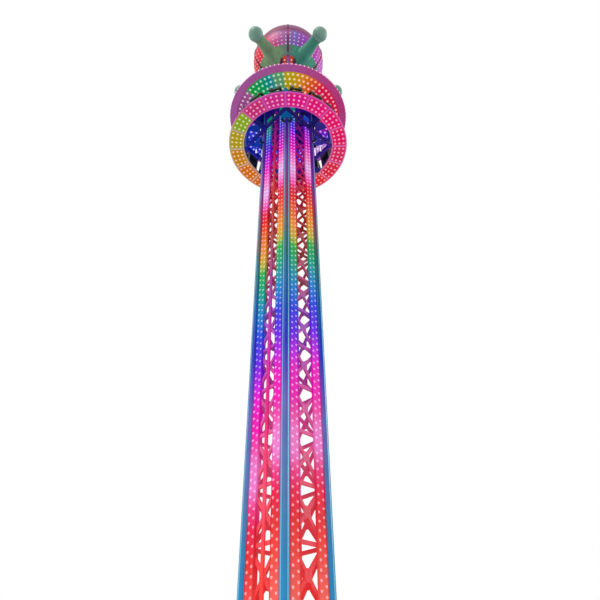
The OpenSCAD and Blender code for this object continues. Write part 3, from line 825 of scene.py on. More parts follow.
def build_gusset(bm):
    """A plate with cut corners, 2 wide and 2 high, that lies on the origin with Z outwards."""
    outline = bmesh.ops.create_grid(bm, x_segments=1, y_segments=1, size=1.0)["verts"]
    bmesh.ops.bevel(
        bm, geom=outline, offset=0.45, segments=1, profile=0.5, affect="VERTICES", material=-1
    )
    grown = bmesh.ops.extrude_face_region(bm, geom=list(bm.faces))["geom"]
    tops = [g for g in grown if isinstance(g, bmesh.types.BMVert)]
    bmesh.ops.translate(bm, verts=tops, vec=(0, 0, 1))
    bmesh.ops.recalc_face_normals(bm, faces=bm.faces)


LAMP = pattern("lamp", build_lamp)
BOLT = pattern("bolt", build_bolt)
GUSSET = pattern("gusset", build_gusset)


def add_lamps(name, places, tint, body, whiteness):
    """One piece of many lamps, at the given placing matrices."""
    collar = lamp_collar(f"{name}_collar", tint)
    lens = lamp_lens(f"{name}_lens", tint, whiteness, LAMP_GLOW)
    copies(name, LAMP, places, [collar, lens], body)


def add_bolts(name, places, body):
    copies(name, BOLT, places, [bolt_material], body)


def bolt_places(frames, spots, size):
    """A bolt on each spot of each frame, standing along the frame's Z."""
    return [one @ at(*spot) @ Matrix.Scale(size, 4) for one in frames for spot in spots]


# Strips: two staggered columns of lamps, rails along the edges and straps over the cover joints
STRIP_PITCH = 0.18
COLUMN_GAP = 0.138
STRIP_LAMP = 0.86
STRIP_MIDDLES = [side * (STRIP_EDGE - STRIP_WIDTH / 2) for side in SIDES]
STRIP_ROWS = int((STRIP_HIGH - STRIP_LOW) / STRIP_PITCH) - 1
JOINT_LAMPS = 6
JOINT_PITCH = STRIP_PITCH * JOINT_LAMPS
JOINT_COUNT = int((STRIP_HIGH - STRIP_LOW) / JOINT_PITCH)
# The cover joints, each midway between two lamps of a column
JOINT_HEIGHTS = [STRIP_LOW + JOINT_PITCH * (j + 1) + STRIP_PITCH / 4 for j in range(JOINT_COUNT)]
RAIL_T = 0.006
RAIL_RISE = 0.008
STRAP_HALF = 0.009
STRAP_SINK = 0.002
STRAP_RISE = 0.004
STRAP_SCREW = 0.007
SCREW_SHARE = 0.86
FINE_BEVEL = 0.002


def strip_places(turn):
    """Where the lamps of one face's two strips stand."""
    places = []
    for middle, column, k in product(STRIP_MIDDLES, SIDES, range(STRIP_ROWS)):
        height = STRIP_LOW + (k + 0.75 + column * 0.25) * STRIP_PITCH
        spot = (STRIP_OUT, middle + column * COLUMN_GAP / 2, height)
        places.append(turn @ facing(spot, EAST, STRIP_LAMP))
    return places


def add_strip_frames(name, turn):
    """Rails along the edges and the top of one face's strips, and a screwed strap over each joint."""
    bm = bmesh.new()
    screws = []
    half = STRIP_WIDTH / 2
    rail_x = (FACE_OUT, STRIP_OUT + RAIL_RISE)
    strap_x = (STRIP_OUT - STRAP_SINK, STRIP_OUT + STRAP_RISE)
    for middle in STRIP_MIDDLES:
        for side in SIDES:
            rail_y = about(middle + side * (half + RAIL_T / 2), RAIL_T / 2)
            block(bm, rail_x, rail_y, (STRIP_LOW, STRIP_HIGH), FINE_BEVEL, turn)
        for height in JOINT_HEIGHTS:
            block(bm, strap_x, about(middle, half), about(height, STRAP_HALF), 0.0, turn)
            for side in (-1, 0, 1):
                spot = (strap_x[1], middle + side * half * SCREW_SHARE, height)
                screws.append(turn @ facing(spot, EAST, STRAP_SCREW))
        block(bm, rail_x, about(middle, half + RAIL_T), about(STRIP_HIGH, RAIL_T), 0.0, turn)
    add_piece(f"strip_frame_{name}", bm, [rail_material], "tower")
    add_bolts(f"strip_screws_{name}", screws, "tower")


for face_name, face_turn in FACE_TURNS.items():
    lamps = strip_places(face_turn)
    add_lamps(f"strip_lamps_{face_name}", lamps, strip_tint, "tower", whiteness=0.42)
    add_strip_frames(face_name, face_turn)

# Lattice: bolted gussets where the braces cross, and where they meet the bars
BAYS = round((LATTICE_TOP - LATTICE_LOW - BAR_WIDTH) / BAY)
FIRST_BAR = LATTICE_LOW + BAR_WIDTH / 2
GUSSET_T = 0.008
GUSSET_BOLT = 0.012
CROSS_HALF = (0.1, 0.12)
END_HALF = (0.11, 0.1)
BOLT_SHARES = ((0.55, 0.2), (-0.55, 0.2), (0.55, -0.55), (-0.55, -0.55))


def crossing_frames(turn):
    """Where the braces of one face cross, on its outside."""
    return [turn @ facing((FACE_OUT, 0, FIRST_BAR + (k + 0.5) * BAY), EAST) for k in range(BAYS)]


def end_frames(turn):
    """Where the braces of one face meet the bars, on its inside."""
    edge = LATTICE_EDGE - END_HALF[0]
    return [
        turn @ facing((FACE_IN, side * edge, FIRST_BAR + k * BAY), WEST)
        for k, side in product(range(BAYS + 1), SIDES)
    ]


def add_gussets():
    plates = []
    bolts = []
    for turn in TURNS:
        for frames, half in ((crossing_frames(turn), CROSS_HALF), (end_frames(turn), END_HALF)):
            plates += [one @ wide(*half, GUSSET_T) for one in frames]
            spots = [(x * half[0], y * half[1], GUSSET_T) for x, y in BOLT_SHARES]
            bolts += bolt_places(frames, spots, GUSSET_BOLT)
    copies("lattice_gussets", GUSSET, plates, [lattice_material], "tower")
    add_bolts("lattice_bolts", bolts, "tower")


add_gussets()

# Duct: straps over its joints, a cap on its top, and a box at its foot with a screwed lid
DUCT_STRAP_T = 0.004
DUCT_STRAP_HALF = 0.02
DUCT_SCREW = 0.008
DUCT_SCREW_SHARE = 0.7
CAP_T = 0.006
CAP_DROP = 0.03
FOOT_BOX = (0.1, 0.14, 0.36)
LID_T = 0.008
LID_INSET = (0.015, 0.02)
LID_SCREW = 0.011
LID_SCREW_INSET = (0.035, 0.05)


def add_duct_covers():
    bm = bmesh.new()
    screws = []
    turn = FACE_TURNS["south"]
    strap_x = (FACE_OUT, DUCT_OUT + DUCT_STRAP_T)
    for height in JOINT_HEIGHTS:
        strap_z = about(height, DUCT_STRAP_HALF)
        block(bm, strap_x, about(0, DUCT_EDGE + DUCT_STRAP_T), strap_z, FINE_BEVEL, turn)
        for side in SIDES:
            spot = (strap_x[1], side * DUCT_EDGE * DUCT_SCREW_SHARE, height)
            screws.append(turn @ facing(spot, EAST, DUCT_SCREW))
    cap_z = (STRIP_HIGH - CAP_DROP, STRIP_HIGH + CAP_T)
    block(bm, (FACE_OUT, DUCT_OUT + CAP_T), about(0, DUCT_EDGE + CAP_T), cap_z, 0.003, turn)
    depth, half, tall = FOOT_BOX
    block(bm, (FACE_OUT, FACE_OUT + depth), about(0, half), (BEAM_TOP, BEAM_TOP + tall), 0.008, turn)
    lid_x = (FACE_OUT + depth, FACE_OUT + depth + LID_T)
    middle = BEAM_TOP + tall / 2
    lid_z = about(middle, tall / 2 - LID_INSET[1])
    block(bm, lid_x, about(0, half - LID_INSET[0]), lid_z, 0.003, turn)
    for y in about(0, half - LID_SCREW_INSET[0]):
        for height in about(middle, tall / 2 - LID_SCREW_INSET[1]):
            screws.append(turn @ facing((lid_x[1], y, height), EAST, LID_SCREW))
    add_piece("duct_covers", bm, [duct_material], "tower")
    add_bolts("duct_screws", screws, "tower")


add_duct_covers()

# Base: anchor studs and stiffeners on the foot plates
WASHER_HALF = 0.045
WASHER_T = 0.01
STUD_RINGS = [(0.027, WASHER_T), (0.027, 0.034), (0.016, 0.036), (0.016, 0.075), (0.011, 0.08)]
RIB_SIZE = (0.15, 0.012, 0.15)
RIB_REACH = 0.17
RIB_OFFSETS = (-0.084, 0.0, 0.084)
RIB_TOP = 0.12


def build_stud(bm):
    """An anchor bolt's square washer, nut and stud, along Z."""
    block(bm, about(0, WASHER_HALF), about(0, WASHER_HALF), (0, WASHER_T), FINE_BEVEL)
    lathe(bm, STUD_RINGS, 6)


def build_rib(bm):
    """A triangular stiffener, 1 long in X and 1 high, 1 thick in Y about the origin."""
    block(bm, (0, 1), about(0, 0.5), (0, 1))
    edge = [e for e in bm.edges if all(v.co.x > 0.5 and v.co.z > 0.5 for v in e.verts)]
    bmesh.ops.translate(bm, verts=edge[0].verts, vec=(RIB_TOP - 1, 0, 0))


def add_base_details():
    studs = []
    ribs = []
    swapped = Matrix(((0, 1, 0, 0), (1, 0, 0, 0), (0, 0, 1, 0), (0, 0, 0, 1)))
    for turn in TURNS:
        for x, y in product(SIDES, SIDES):
            studs.append(turn @ at(TUBE_C + x * ANCHOR_GRID, TUBE_C + y * ANCHOR_GRID, FOOT_TOP))
        for offset in RIB_OFFSETS:
            place = at(BASE_OUT - RIB_REACH, TUBE_C + offset, FOOT_TOP) @ wide(*RIB_SIZE)
            ribs += [turn @ place, turn @ swapped @ place]
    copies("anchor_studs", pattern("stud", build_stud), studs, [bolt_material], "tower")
    rib = pattern("rib", build_rib)
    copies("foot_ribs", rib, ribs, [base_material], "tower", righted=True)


add_base_details()

# Lamps of the ring: three rows of four on each panel, spread over part of its step
RING_ROWS = 3
RING_COLUMNS = 4
RING_SPREAD = 0.232
RING_LAMP = 1.15


def ring_places():
    low = RING_HOLE_R + RING_LIP
    width = RING_R - RING_LIP - low
    places = []
    for panel, row, k in product(range(PANELS), range(RING_ROWS), range(RING_COLUMNS)):
        radius = low + width * (row + 0.5) / RING_ROWS
        angle = PANEL_STEP * (panel + 0.5 + (k - (RING_COLUMNS - 1) / 2) * RING_SPREAD)
        places.append(turned(angle) @ facing((radius, 0, PANEL_LOW), DOWN, RING_LAMP))
    return places


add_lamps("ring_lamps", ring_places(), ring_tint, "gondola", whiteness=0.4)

# Beads of the ring: radius, height, thickness, tallness and steps
RING_BEADS = (
    (RING_R - 0.006, RING_LOW + 0.012, 0.016, 0.028, 128),
    (RING_HOLE_R + 0.008, RING_LOW - 0.002, 0.016, 0.012, 96),
    (RING_R - RING_LEAN - 0.004, RING_TOP + 0.012, 0.014, 0.03, 128),
)
# Plates of the ring's deck: cover plates between the seats and foot plates before them
COVER_X = (SEAT_BACK_R - 0.07, RING_R - RING_LEAN - 0.02)
COVER_HALF = 0.07
COVER_T = 0.006
STEP_X = (SEAT_BACK_R + 0.01, SEAT_BACK_R + 0.25)
STEP_HALF = 0.15
STEP_T = 0.012
STEP_BOLT_INSET = (0.015, 0.018)
LIP_INSET = 0.02
PLATE_BOLT = 0.013
LIP_BOLT = 0.012


def add_ring_trim():
    """Beads along the ring's edges, plates on its deck and bolts under its lips."""
    bm = bmesh.new()
    for bead in RING_BEADS:
        hoop(bm, *bead)
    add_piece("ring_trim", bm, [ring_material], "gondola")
    plates = bmesh.new()
    bolts = []
    for turn in shared_circle(PANELS):
        block(plates, COVER_X, about(0, COVER_HALF), (RING_TOP, RING_TOP + COVER_T), FINE_BEVEL, turn)
        for x in (RING_HOLE_R + LIP_INSET, RING_R - LIP_INSET):
            bolts.append(turn @ facing((x, 0, RING_LOW), DOWN, LIP_BOLT))
    step_top = RING_TOP + STEP_T
    inset_x, inset_y = STEP_BOLT_INSET
    bolt_x = (STEP_X[0] + inset_x, STEP_X[1] - inset_x)
    spots = [(x, y, step_top) for x, y in product(bolt_x, about(0, STEP_HALF - inset_y))]
    steps = shared_circle(PANELS, 0.5)
    for turn in steps:
        block(plates, STEP_X, about(0, STEP_HALF), (RING_TOP, step_top), 0.003, turn)
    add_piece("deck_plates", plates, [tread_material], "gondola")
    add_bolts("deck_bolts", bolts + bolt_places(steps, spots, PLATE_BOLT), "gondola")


add_ring_trim()

# Seats: padded shapes on the moulded shells
PILLOW_CUTS = 5
PILLOW_POWER = 5
SIDE_PULL = 0.05
CROWN_RISE = 0.2
PAN_TOP = RING_TOP + SEAT_RISE
BACK_TOP = PAN_TOP + BACK_HEIGHT
BACK_TOP_R = SEAT_BACK_R - BACK_LEAN
BACK_TURN = math.degrees(math.atan2(BACK_LEAN, BACK_HEIGHT))


def build_pillow(bm):
    """A cushion 2 units a side, crowned in the middle of each side and pulled in between its corners."""
    bmesh.ops.create_cube(bm, size=2.0)
    bmesh.ops.subdivide_edges(bm, edges=bm.edges, cuts=PILLOW_CUTS, use_grid_fill=True)
    for vert in bm.verts:
        x, y, z = vert.co
        vert.co /= sum(abs(part) ** PILLOW_POWER for part in (x, y, z)) ** (1 / PILLOW_POWER)
        pull = 1 - SIDE_PULL * (1 - abs(z)) * (1 - min(x * x, y * y))
        vert.co.x *= pull
        vert.co.y *= pull
        vert.co.z *= 1 - CROWN_RISE + CROWN_RISE * (1 - x * x) * (1 - y * y)


def on_pan(x, y, up):
    """A place above the seat pan, at a distance from the back's foot."""
    return at(SEAT_BACK_R + x, y, PAN_TOP + up)


def on_back(x, y, up):
    """A place on the front of the seat back, at a height above the pan, with Z out of the back."""
    fall = up / BACK_HEIGHT
    return at(SEAT_BACK_R - BACK_LEAN * fall + x, y, PAN_TOP + up) @ turned(90 - BACK_TURN, "Y")


# Cushions of a seat, each with its place and half sizes: pan, back, neck and head, then both sides
PADS = [
    on_pan(0.18, 0, 0.018) @ wide(0.135, 0.165, 0.038),
    on_back(0.014, 0, 0.2) @ wide(0.12, 0.125, 0.032),
    on_back(0.014, 0, 0.39) @ wide(0.065, 0.115, 0.028),
    on_back(0.02, 0, 0.53) @ wide(0.068, 0.085, 0.032),
]
PADS += [on_pan(0.15, y, 0.045) @ wide(0.12, 0.022, 0.045) for y in (0.183, -0.183)]
PADS += [on_back(0.03, y, 0.5) @ wide(0.08, 0.024, 0.045) for y in (0.178, -0.178)]

# A restraint's arm, from behind the seat back over the shoulder to the lap, from the back's top
ARM_PATH = [
    (-0.03, 0.03), (0.01, 0.052), (0.07, 0.058), (0.12, 0.046), (0.17, 0.014), (0.208, -0.036),
    (0.228, -0.09), (0.25, -0.15), (0.274, -0.21), (0.298, -0.27), (0.316, -0.33),
]
ARM_APART = 0.15
ARM_HALF_W = 0.054
ARM_HALF_T = 0.036
ARM_END = 0.55
# Its grab handle: radius and height of the grip, and radius and reach of the two stems
GRIP_OUT = 0.33
GRIP_RINGS = ((0.014, -0.13), (0.014, -0.25))
STEM_RINGS = ((0.01, 0.26), (0.01, GRIP_OUT))
STEM_DROPS = (0.14, 0.24)
# The lap bar's place, its radius at places across the lap, and its buckle
KNEE = (0.318, -0.375)
LAP_RINGS = ((0.024, -0.205), (0.034, -0.197), (0.0372, 0.0), (0.034, 0.197), (0.024, 0.205))
BUCKLE = ((-0.04, 0.004), (-0.04, 0.04), (-0.04, -0.005))
# The rubber edge of a wing: along the pan from its nose, and up the back to its top
PAN_EDGE = ((PAN_LENGTH - 0.06, 0.055), (0.154, 0.11), (0.066, 0.248))
BACK_EDGE = ((0.088, -0.217), (0.11, -0.124), (0.088, -0.04), (0.055, 0.0), (-0.04, 0.0))
EDGE_INSET = 0.014
EDGE_HALF_W = 0.018
EDGE_HALF_T = 0.007
# The belt slot plate on the back: its reach, half width and heights
SLOT_X = (BACK_TOP_R - 0.05, BACK_TOP_R - 0.02)
SLOT_HALF = 0.15
SLOT_Z = (BACK_TOP - 0.3, BACK_TOP - 0.1)
PLATE_BEVEL = 0.006


def along(points, half_w, half_t, end=1.0):
    """Stations for a skin along points of the XZ plane, its two ends a share of its size."""
    stations = []
    last = len(points) - 1
    for k, point in enumerate(points):
        before = points[max(k - 1, 0)]
        after = points[min(k + 1, last)]
        heading = math.atan2(after[0] - before[0], after[2] - before[2])
        thin = end if k in (0, last) else 1.0
        turn = Matrix.Rotation(heading, 4, "Y")
        stations.append(at(*point) @ turn @ wide(half_t * thin, half_w * thin))
    return stations


def build_restraint(bm):
    """Two padded arms with a grab handle on each."""
    for side in SIDES:
        y = side * ARM_APART
        points = [(BACK_TOP_R + x, y, BACK_TOP + z) for x, z in ARM_PATH]
        skin(bm, along(points, ARM_HALF_W, ARM_HALF_T, ARM_END), 12)
        lathe(bm, GRIP_RINGS, 8, [1, 1], at(BACK_TOP_R + GRIP_OUT, y, BACK_TOP))
        for drop in STEM_DROPS:
            lathe(bm, STEM_RINGS, 8, [1, 1], facing((BACK_TOP_R, y, BACK_TOP - drop), EAST))


def build_lap_bar(bm):
    """The padded bar across the ends of a restraint's arms, with a buckle in its middle."""
    place = at(BACK_TOP_R + KNEE[0], 0, BACK_TOP + KNEE[1])
    lathe(bm, LAP_RINGS, 12, None, place @ facing((0, 0, 0), NORTH))
    block(bm, *BUCKLE, PLATE_BEVEL, place)


def build_shell_trim(bm):
    """The rubber edge along the front of each wing and the seat's nose, and a belt slot plate."""
    for side in SIDES:
        y = side * (SEAT_WIDTH / 2 - EDGE_INSET)
        points = [(SEAT_BACK_R + x, y, PAN_TOP + z) for x, z in PAN_EDGE]
        points += [(BACK_TOP_R + x, y, BACK_TOP + z) for x, z in BACK_EDGE]
        skin(bm, along(points, EDGE_HALF_W, EDGE_HALF_T), 8)
    block(bm, SLOT_X, about(0, SLOT_HALF), SLOT_Z, PLATE_BEVEL)


PILLOW = pattern("pillow", build_pillow)
RESTRAINT = pattern("restraint", build_restraint)
LAP_BAR = pattern("lap_bar", build_lap_bar)
SHELL_TRIM = pattern("shell_trim", build_shell_trim)
SEAT_FRAMES = shared_circle(PANELS, 0.5)
SEATS_EACH = PANELS // len(QUARTERS)


def smooth(piece):
    for face in piece.data.polygons:
        face.use_smooth = True


def add_seat_dressing(quarter):
    """The cushions, the padded restraints and the rubber edges of one quarter's seats."""
    frames = SEAT_FRAMES[SEATS_EACH * (quarter - 1):SEATS_EACH * quarter]
    pads = [one @ pad for one in frames for pad in PADS]
    cushions = copies(
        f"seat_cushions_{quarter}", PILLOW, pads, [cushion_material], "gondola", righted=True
    )
    smooth(cushions)
    finishes = [pad_material, bolt_material]
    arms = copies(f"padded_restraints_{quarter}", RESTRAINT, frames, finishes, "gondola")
    smooth(arms)
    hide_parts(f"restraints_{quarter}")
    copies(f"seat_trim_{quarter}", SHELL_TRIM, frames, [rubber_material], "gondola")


def add_lap_bars():
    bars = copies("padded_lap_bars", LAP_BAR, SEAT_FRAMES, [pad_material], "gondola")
    smooth(bars)
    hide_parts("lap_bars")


for number in QUARTERS:
    add_seat_dressing(number)
add_lap_bars()

# Gondola: splice plates on the chassis beams, and hubs on the guide rollers
SPLICE_OFF = 0.55
SPLICE_DEPTH = 0.11
SPLICE_HALF = 0.1
SPLICE_T = 0.01
SPLICE_BOLTS = [(x, y, SPLICE_T) for x, y in product((-0.09, -0.02), (-0.07, 0.0, 0.07))]
ROLLER_C = TUBE_OUT + ROLLER_GAP + ROLLER_R
ROLLER_LEVELS = (ROLLER_LOW + ROLLER_R, ROLLER_TOP - ROLLER_R)
HUB_OFF = 0.062
HUB_R = 0.03


def add_gondola_frame():
    plates = bmesh.new()
    bolts = []
    hubs = []
    for turn, side in product(TURNS, SIDES):
        splice = turn @ at(CHASSIS_OUT, side * SPLICE_OFF, CHASSIS_TOP)
        block(plates, (-SPLICE_DEPTH, 0), about(0, SPLICE_HALF), (0, SPLICE_T), FINE_BEVEL, splice)
        bolts += bolt_places([splice], SPLICE_BOLTS, PLATE_BOLT)
        off = TUBE_C + side * HUB_OFF
        for level in ROLLER_LEVELS:
            hubs.append(turn @ facing((ROLLER_C, off, level), (0, side, 0), HUB_R))
            hubs.append(turn @ facing((off, ROLLER_C, level), (side, 0, 0), HUB_R))
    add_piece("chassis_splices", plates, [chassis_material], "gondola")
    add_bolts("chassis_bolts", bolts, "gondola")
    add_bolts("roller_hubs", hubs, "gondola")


add_gondola_frame()

# Upright tube lamps on the inner faces of the chassis beams: their place along the beam and their height
TUBE_LAMPS = ((0.41, 0.6), (0.7, 0.3))
TUBE_LAMP_R = 0.02
TUBE_PLATE_T = 0.012
TUBE_PLATE_HALF = 0.03
TUBE_LAMP_RISE = 0.01
TUBE_RINGS = [(1.25, 0.0), (1.25, 0.06), (1.0, 0.08), (1.0, 0.92), (1.25, 0.94), (1.25, 1.0)]


def build_tube_lamp(bm):
    """A tube lamp 1 high that stands on the origin, between two sockets, with its back plate at +X."""
    lathe(bm, [(TUBE_LAMP_R * r, height) for r, height in TUBE_RINGS], 12, [0, 0, 1, 0, 0])
    plate_x = (TUBE_LAMP_R, TUBE_LAMP_R + TUBE_PLATE_T)
    block(bm, plate_x, about(0, TUBE_PLATE_HALF), (0, 1), FINE_BEVEL)


def add_tube_lamps():
    stand = CHASSIS_OUT - CHASSIS_W - TUBE_LAMP_R - TUBE_PLATE_T
    places = []
    for turn, (off, height), side in product(TURNS, TUBE_LAMPS, SIDES):
        places.append(turn @ at(stand, side * off, RING_LOW + TUBE_LAMP_RISE) @ wide(1, 1, height))
    tube = pattern("tube_lamp", build_tube_lamp)
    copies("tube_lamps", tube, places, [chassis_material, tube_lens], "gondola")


add_tube_lamps()

# Lamps of the crown: rows on its band and one row round its rim
BAND_ROWS = 4
BAND_PITCH = 0.178
ROW_STEP = 0.185
FIRST_ROW = 0.1
BAND_LAMP = 1.3
RIM_LAMPS = 92
RIM_LAMP = 0.85
RIM_DROP = 0.012
RIM_FACING = (1, 0, -0.4)


def band_places():
    places = []
    for row in range(BAND_ROWS):
        radius = CROWN_R - BORDER - FIRST_ROW - ROW_STEP * row
        lamp = facing((radius, 0, CROWN_LOW), DOWN, BAND_LAMP)
        places += [turn @ lamp for turn in shared_circle(round(math.tau * radius / BAND_PITCH))]
    return places


def rim_places():
    lamp = facing((CROWN_R, 0, (CROWN_LOW + CROWN_RIM_TOP) / 2 - RIM_DROP), RIM_FACING, RIM_LAMP)
    return [turn @ lamp for turn in shared_circle(RIM_LAMPS)]


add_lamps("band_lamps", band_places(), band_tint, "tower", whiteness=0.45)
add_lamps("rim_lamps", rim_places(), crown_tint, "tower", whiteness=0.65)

# Beads of the crown: radius, height, thickness, tallness and steps
CROWN_BEADS = (
    (CROWN_HOLE_R + 0.008, CROWN_LOW - 0.004, 0.016, 0.024, 96),
    (CROWN_R - BORDER, CROWN_LOW - 0.002, 0.012, 0.01, 128),
    (CROWN_R - 0.03, CROWN_LOW - 0.002, 0.012, 0.01, 128),
    (ROOF_R + 0.006, ROOF_LOW + 0.006, 0.012, 0.04, 128),
)
# Covers of the border's radial joints, in X, Y and Z
BORDER_COVER = (
    (CROWN_R - BORDER + 0.01, CROWN_R - 0.034), about(0, 0.006), (CROWN_LOW - 0.004, CROWN_LOW + 0.001),
)
# The roof's seams, its flashing at the neck, and its hatch: X goes up the slope from the rim as minus
ROOF_SEAMS = 24
ROOF_SLOPE = math.degrees(math.atan2(ROOF_TOP - ROOF_LOW, ROOF_R - COLUMN_R))
SEAM_LENGTH = math.hypot(ROOF_R - COLUMN_R, ROOF_TOP - ROOF_LOW) - 0.14
ROOF_START = at(ROOF_R - 0.02, 0, ROOF_LOW + 0.02) @ turned(ROOF_SLOPE, "Y")
ROOF_SEAM = ((-SEAM_LENGTH, -0.02), about(0, 0.009), (-0.006, 0.024))
FLASHING = (COLUMN_R + 0.03, ROOF_TOP - 0.01, 0.06, 0.06, 64)
HATCH_TURN = 7.5
HATCH_FRAME = ((-1.25, -0.8), about(0, 0.2), (-0.004, 0.03))
HATCH_LID = ((-1.21, -0.84), about(0, 0.16), (0.03, 0.042))
SEAM_BEVEL = 0.004


def add_crown_trim():
    """Beads round the crown's hole, band and rim, and the covers of its radial joints."""
    bm = bmesh.new()
    for bead in CROWN_BEADS:
        hoop(bm, *bead)
    for turn in shared_circle(ROOF_SEAMS, 0.5):
        block(bm, *BORDER_COVER, 0.0, turn)
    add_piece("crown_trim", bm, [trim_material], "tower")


def add_roof_seams():
    """Standing seams down the roof, the flashing at its neck, and a hatch."""
    bm = bmesh.new()
    for turn in shared_circle(ROOF_SEAMS):
        block(bm, *ROOF_SEAM, SEAM_BEVEL, turn @ ROOF_START)
    hoop(bm, *FLASHING)
    hatch = turned(HATCH_TURN) @ ROOF_START
    block(bm, *HATCH_FRAME, PLATE_BEVEL, hatch)
    block(bm, *HATCH_LID, SEAM_BEVEL, hatch)
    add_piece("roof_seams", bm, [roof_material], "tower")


add_crown_trim()
add_roof_seams()

# The neck: weld beads, flange bolts and a ladder up its back, held by arms
LADDER_TURN = 135.0
LADDER_LOW = ROOF_TOP + 0.06
LADDER_HIGH = NECK_TOP - 0.55
LADDER_MIDDLE = (LADDER_LOW + LADDER_HIGH) / 2
LADDER_HALF = 0.2
LADDER_STAND = COLUMN_R + 0.14
ARM_START = COLUMN_R * 0.7
ARM_HEIGHTS = (LADDER_LOW + 0.08, LADDER_MIDDLE, LADDER_HIGH - 0.05)
WELD_HEIGHTS = (LADDER_LOW + 0.05, LADDER_MIDDLE, LADDER_HIGH)
RAIL_R = 0.018
LADDER_ARM_R = 0.014
RUNG_R = 0.012
RUNG_STEP = 0.28
FIRST_RUNG = 0.6
NECK_BOLTS = 16
NECK_BOLT = 0.022
NECK_BOLT_SPOT = (COLUMN_R * 1.22, 0, HEAD_TOP + 0.04)


def rod(bm, radius, start, end, sides, place):
    """A round bar along Z from start to end."""
    lathe(bm, [(radius, start), (radius, end)], sides, None, place)


def add_neck_details():
    bm = bmesh.new()
    for height in WELD_HEIGHTS:
        hoop(bm, COLUMN_R + 0.004, height, 0.012, 0.03, 48)
    turn = turned(LADDER_TURN)
    for side in SIDES:
        y = side * LADDER_HALF
        rod(bm, RAIL_R, LADDER_LOW, LADDER_HIGH, 8, turn @ at(LADDER_STAND, y, 0))
        for height in ARM_HEIGHTS:
            start = turn @ facing((ARM_START, y, height), EAST)
            rod(bm, LADDER_ARM_R, 0, LADDER_STAND - ARM_START, 8, start)
    for k in range(int((LADDER_HIGH - LADDER_LOW) / RUNG_STEP)):
        height = LADDER_LOW + (k + FIRST_RUNG) * RUNG_STEP
        across = turn @ facing((LADDER_STAND, 0, height), NORTH)
        rod(bm, RUNG_R, -LADDER_HALF, LADDER_HALF, 6, across)
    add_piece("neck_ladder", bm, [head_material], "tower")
    bolts = bolt_places(shared_circle(NECK_BOLTS), [NECK_BOLT_SPOT], NECK_BOLT)
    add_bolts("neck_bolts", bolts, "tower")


add_neck_details()

# Lamps of the globe: four rows between each two arms, and a small patch under the collar
PATCH_LATITUDES = (-13.5, -21.0, -27.7, -33.8)
PATCH_OFFSETS = (-25.9, -18.5, -11.1, -3.7, 3.7, 11.1, 18.5, 25.9)
FOOT_ROWS = ((-58.0, (-10, 10)), (-63.5, (-21, -15.5, -9.5, 9.5, 15.5, 21)))
LAMP_ROWS = [(latitude, PATCH_OFFSETS) for latitude in PATCH_LATITUDES] + list(FOOT_ROWS)
GLOBE_LAMP = 0.92


def globe_spot(azimuth, latitude, size, off=0.0):
    """A place that faces outwards, on the globe or a distance off it."""
    outward = direction(azimuth, latitude)
    return facing(Vector((0, 0, GLOBE_Z)) + outward * (GLOBE_R + off), outward, size)


def globe_places():
    places = []
    for joint, (latitude, offsets) in product(JOINTS, LAMP_ROWS):
        places += [globe_spot(joint + offset, latitude, GLOBE_LAMP) for offset in offsets]
    return places


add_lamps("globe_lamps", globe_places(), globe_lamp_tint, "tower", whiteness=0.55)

# Claw: bolts along the collar's joints, a ring on each arm and a seam round each ball
CLAW_BOLT_LATITUDES = (-40.5, -43.5, -46.5)
CLAW_BOLT_OFF = 4.2
CLAW_BOLT = 0.022
ARM_FOOT_LATITUDE = -43
# Where each ring sits along the arm from the ball's centre, and the radius it goes round
CLAW_RINGS = ((-0.222, 0.222), (0.0, BALL_R + 0.002))
RING_PROFILE = ((0.97, 0.0, -0.014), (1.0, 0.004, -0.008), (1.0, 0.004, 0.008), (0.97, 0.0, 0.014))


def add_claw_details():
    bolts = []
    for joint, latitude, side in product(JOINTS, CLAW_BOLT_LATITUDES, SIDES):
        bolts.append(globe_spot(joint + side * CLAW_BOLT_OFF, latitude, CLAW_BOLT, CLAW_T))
    ball = Vector((BALL_OUT, 0, BALL_Z))
    foot = Vector((0, 0, GLOBE_Z)) + direction(0, ARM_FOOT_LATITUDE) * (GLOBE_R + CLAW_T)
    bm = bmesh.new()
    for turn in shared_circle(len(ARMS), CLAW_TURN / ARM_STEP):
        base = turn @ facing(ball, ball - foot)
        for reach, radius in CLAW_RINGS:
            lathe(bm, [(radius * share + rise, reach + z) for share, rise, z in RING_PROFILE], 48, None, base)
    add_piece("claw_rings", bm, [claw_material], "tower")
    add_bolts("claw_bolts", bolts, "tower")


add_claw_details()

# Stage: a pale floor, a white background, soft light
FLOOR_SIDE = 160.0
WORLD_LIGHT = 0.62
SUN_LIGHT = 1.5
SUN_SOFTNESS = 25.0
FILL_SHARE = 0.4


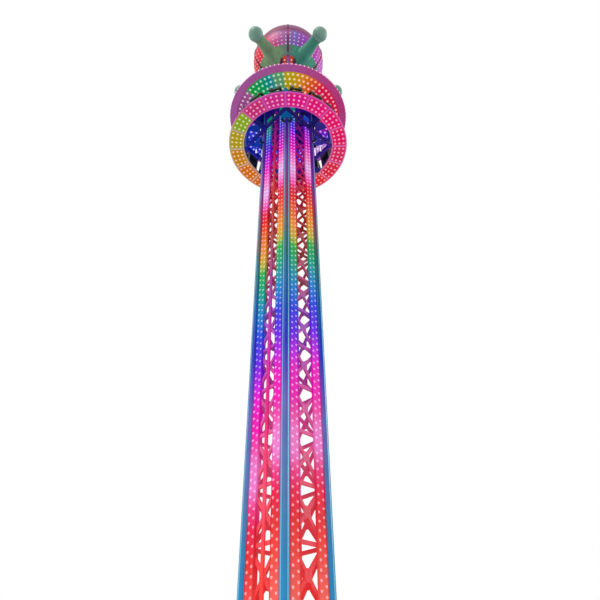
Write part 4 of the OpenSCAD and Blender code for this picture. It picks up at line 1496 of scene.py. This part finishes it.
def add_floor():
    bm = bmesh.new()
    bmesh.ops.create_grid(bm, x_segments=1, y_segments=1, size=FLOOR_SIDE / 2)
    floor = add_object("floor", mesh_of("floor", bm))
    finish = Finish("floor_paint", roughness=0.9, specular_ior_level=0.1)
    finish.feed("Base Color", finish.clouds(0.4, 3.0, 0.76, 0.8, "LINEAR"))
    floor.data.materials.append(finish.material)


def add_world():
    """White where the camera, a glossy or a clear surface sees it, and a soft light elsewhere."""
    world = bpy.data.worlds.new("studio")
    bpy.context.scene.world = world
    tree = Tree(world)
    tree.nodes.clear()
    seen = tree.node("ShaderNodeLightPath", {}, {}, "Is Camera Ray")
    rays = seen.socket.node.outputs
    for ray in ("Is Glossy Ray", "Is Transmission Ray"):
        seen = seen.either(Value(tree, rays[ray]))
    soft = tree.node("ShaderNodeBackground", {}, {"Color": grey(1.0), "Strength": WORLD_LIGHT})
    sky = tree.node("ShaderNodeBackground", {}, {"Color": grey(1.0)})
    pick = tree.node("ShaderNodeMixShader", {}, {0: seen, 1: soft, 2: sky})
    tree.links.new(pick.socket, tree.nodes.new("ShaderNodeOutputWorld").inputs[0])


def add_sun(name, strength, azimuth, elevation):
    """A soft sun that shines from the given direction."""
    data = bpy.data.lights.new(name, "SUN")
    data.energy = strength
    data.angle = math.radians(SUN_SOFTNESS)
    sun = add_object(name, data)
    sun.rotation_euler = direction(azimuth, elevation).to_track_quat("Z", "Y").to_euler()


def add_camera():
    data = bpy.data.cameras.new("camera")
    data.lens = LENS_MM
    data.sensor_width = SENSOR_MM
    data.clip_end = FAR_CLIP
    camera = add_object("camera", data)
    place = direction(CAMERA_AZIMUTH - 90, 0) * CAMERA_DISTANCE
    place.z = EYE_HEIGHT
    heading = turned(CAMERA_AZIMUTH - LOOK_RIGHT)
    camera.matrix_world = Matrix.Translation(place) @ heading @ turned(90 + LOOK_UP, "X") @ turned(-LEAN)
    bpy.context.scene.camera = camera


add_camera()
add_floor()
add_world()
add_sun("key_light", SUN_LIGHT, -80.0, 40.0)
add_sun("fill_light", SUN_LIGHT * FILL_SHARE, 60.0, 25.0)
bpy.context.scene.view_settings.view_transform = "Standard"
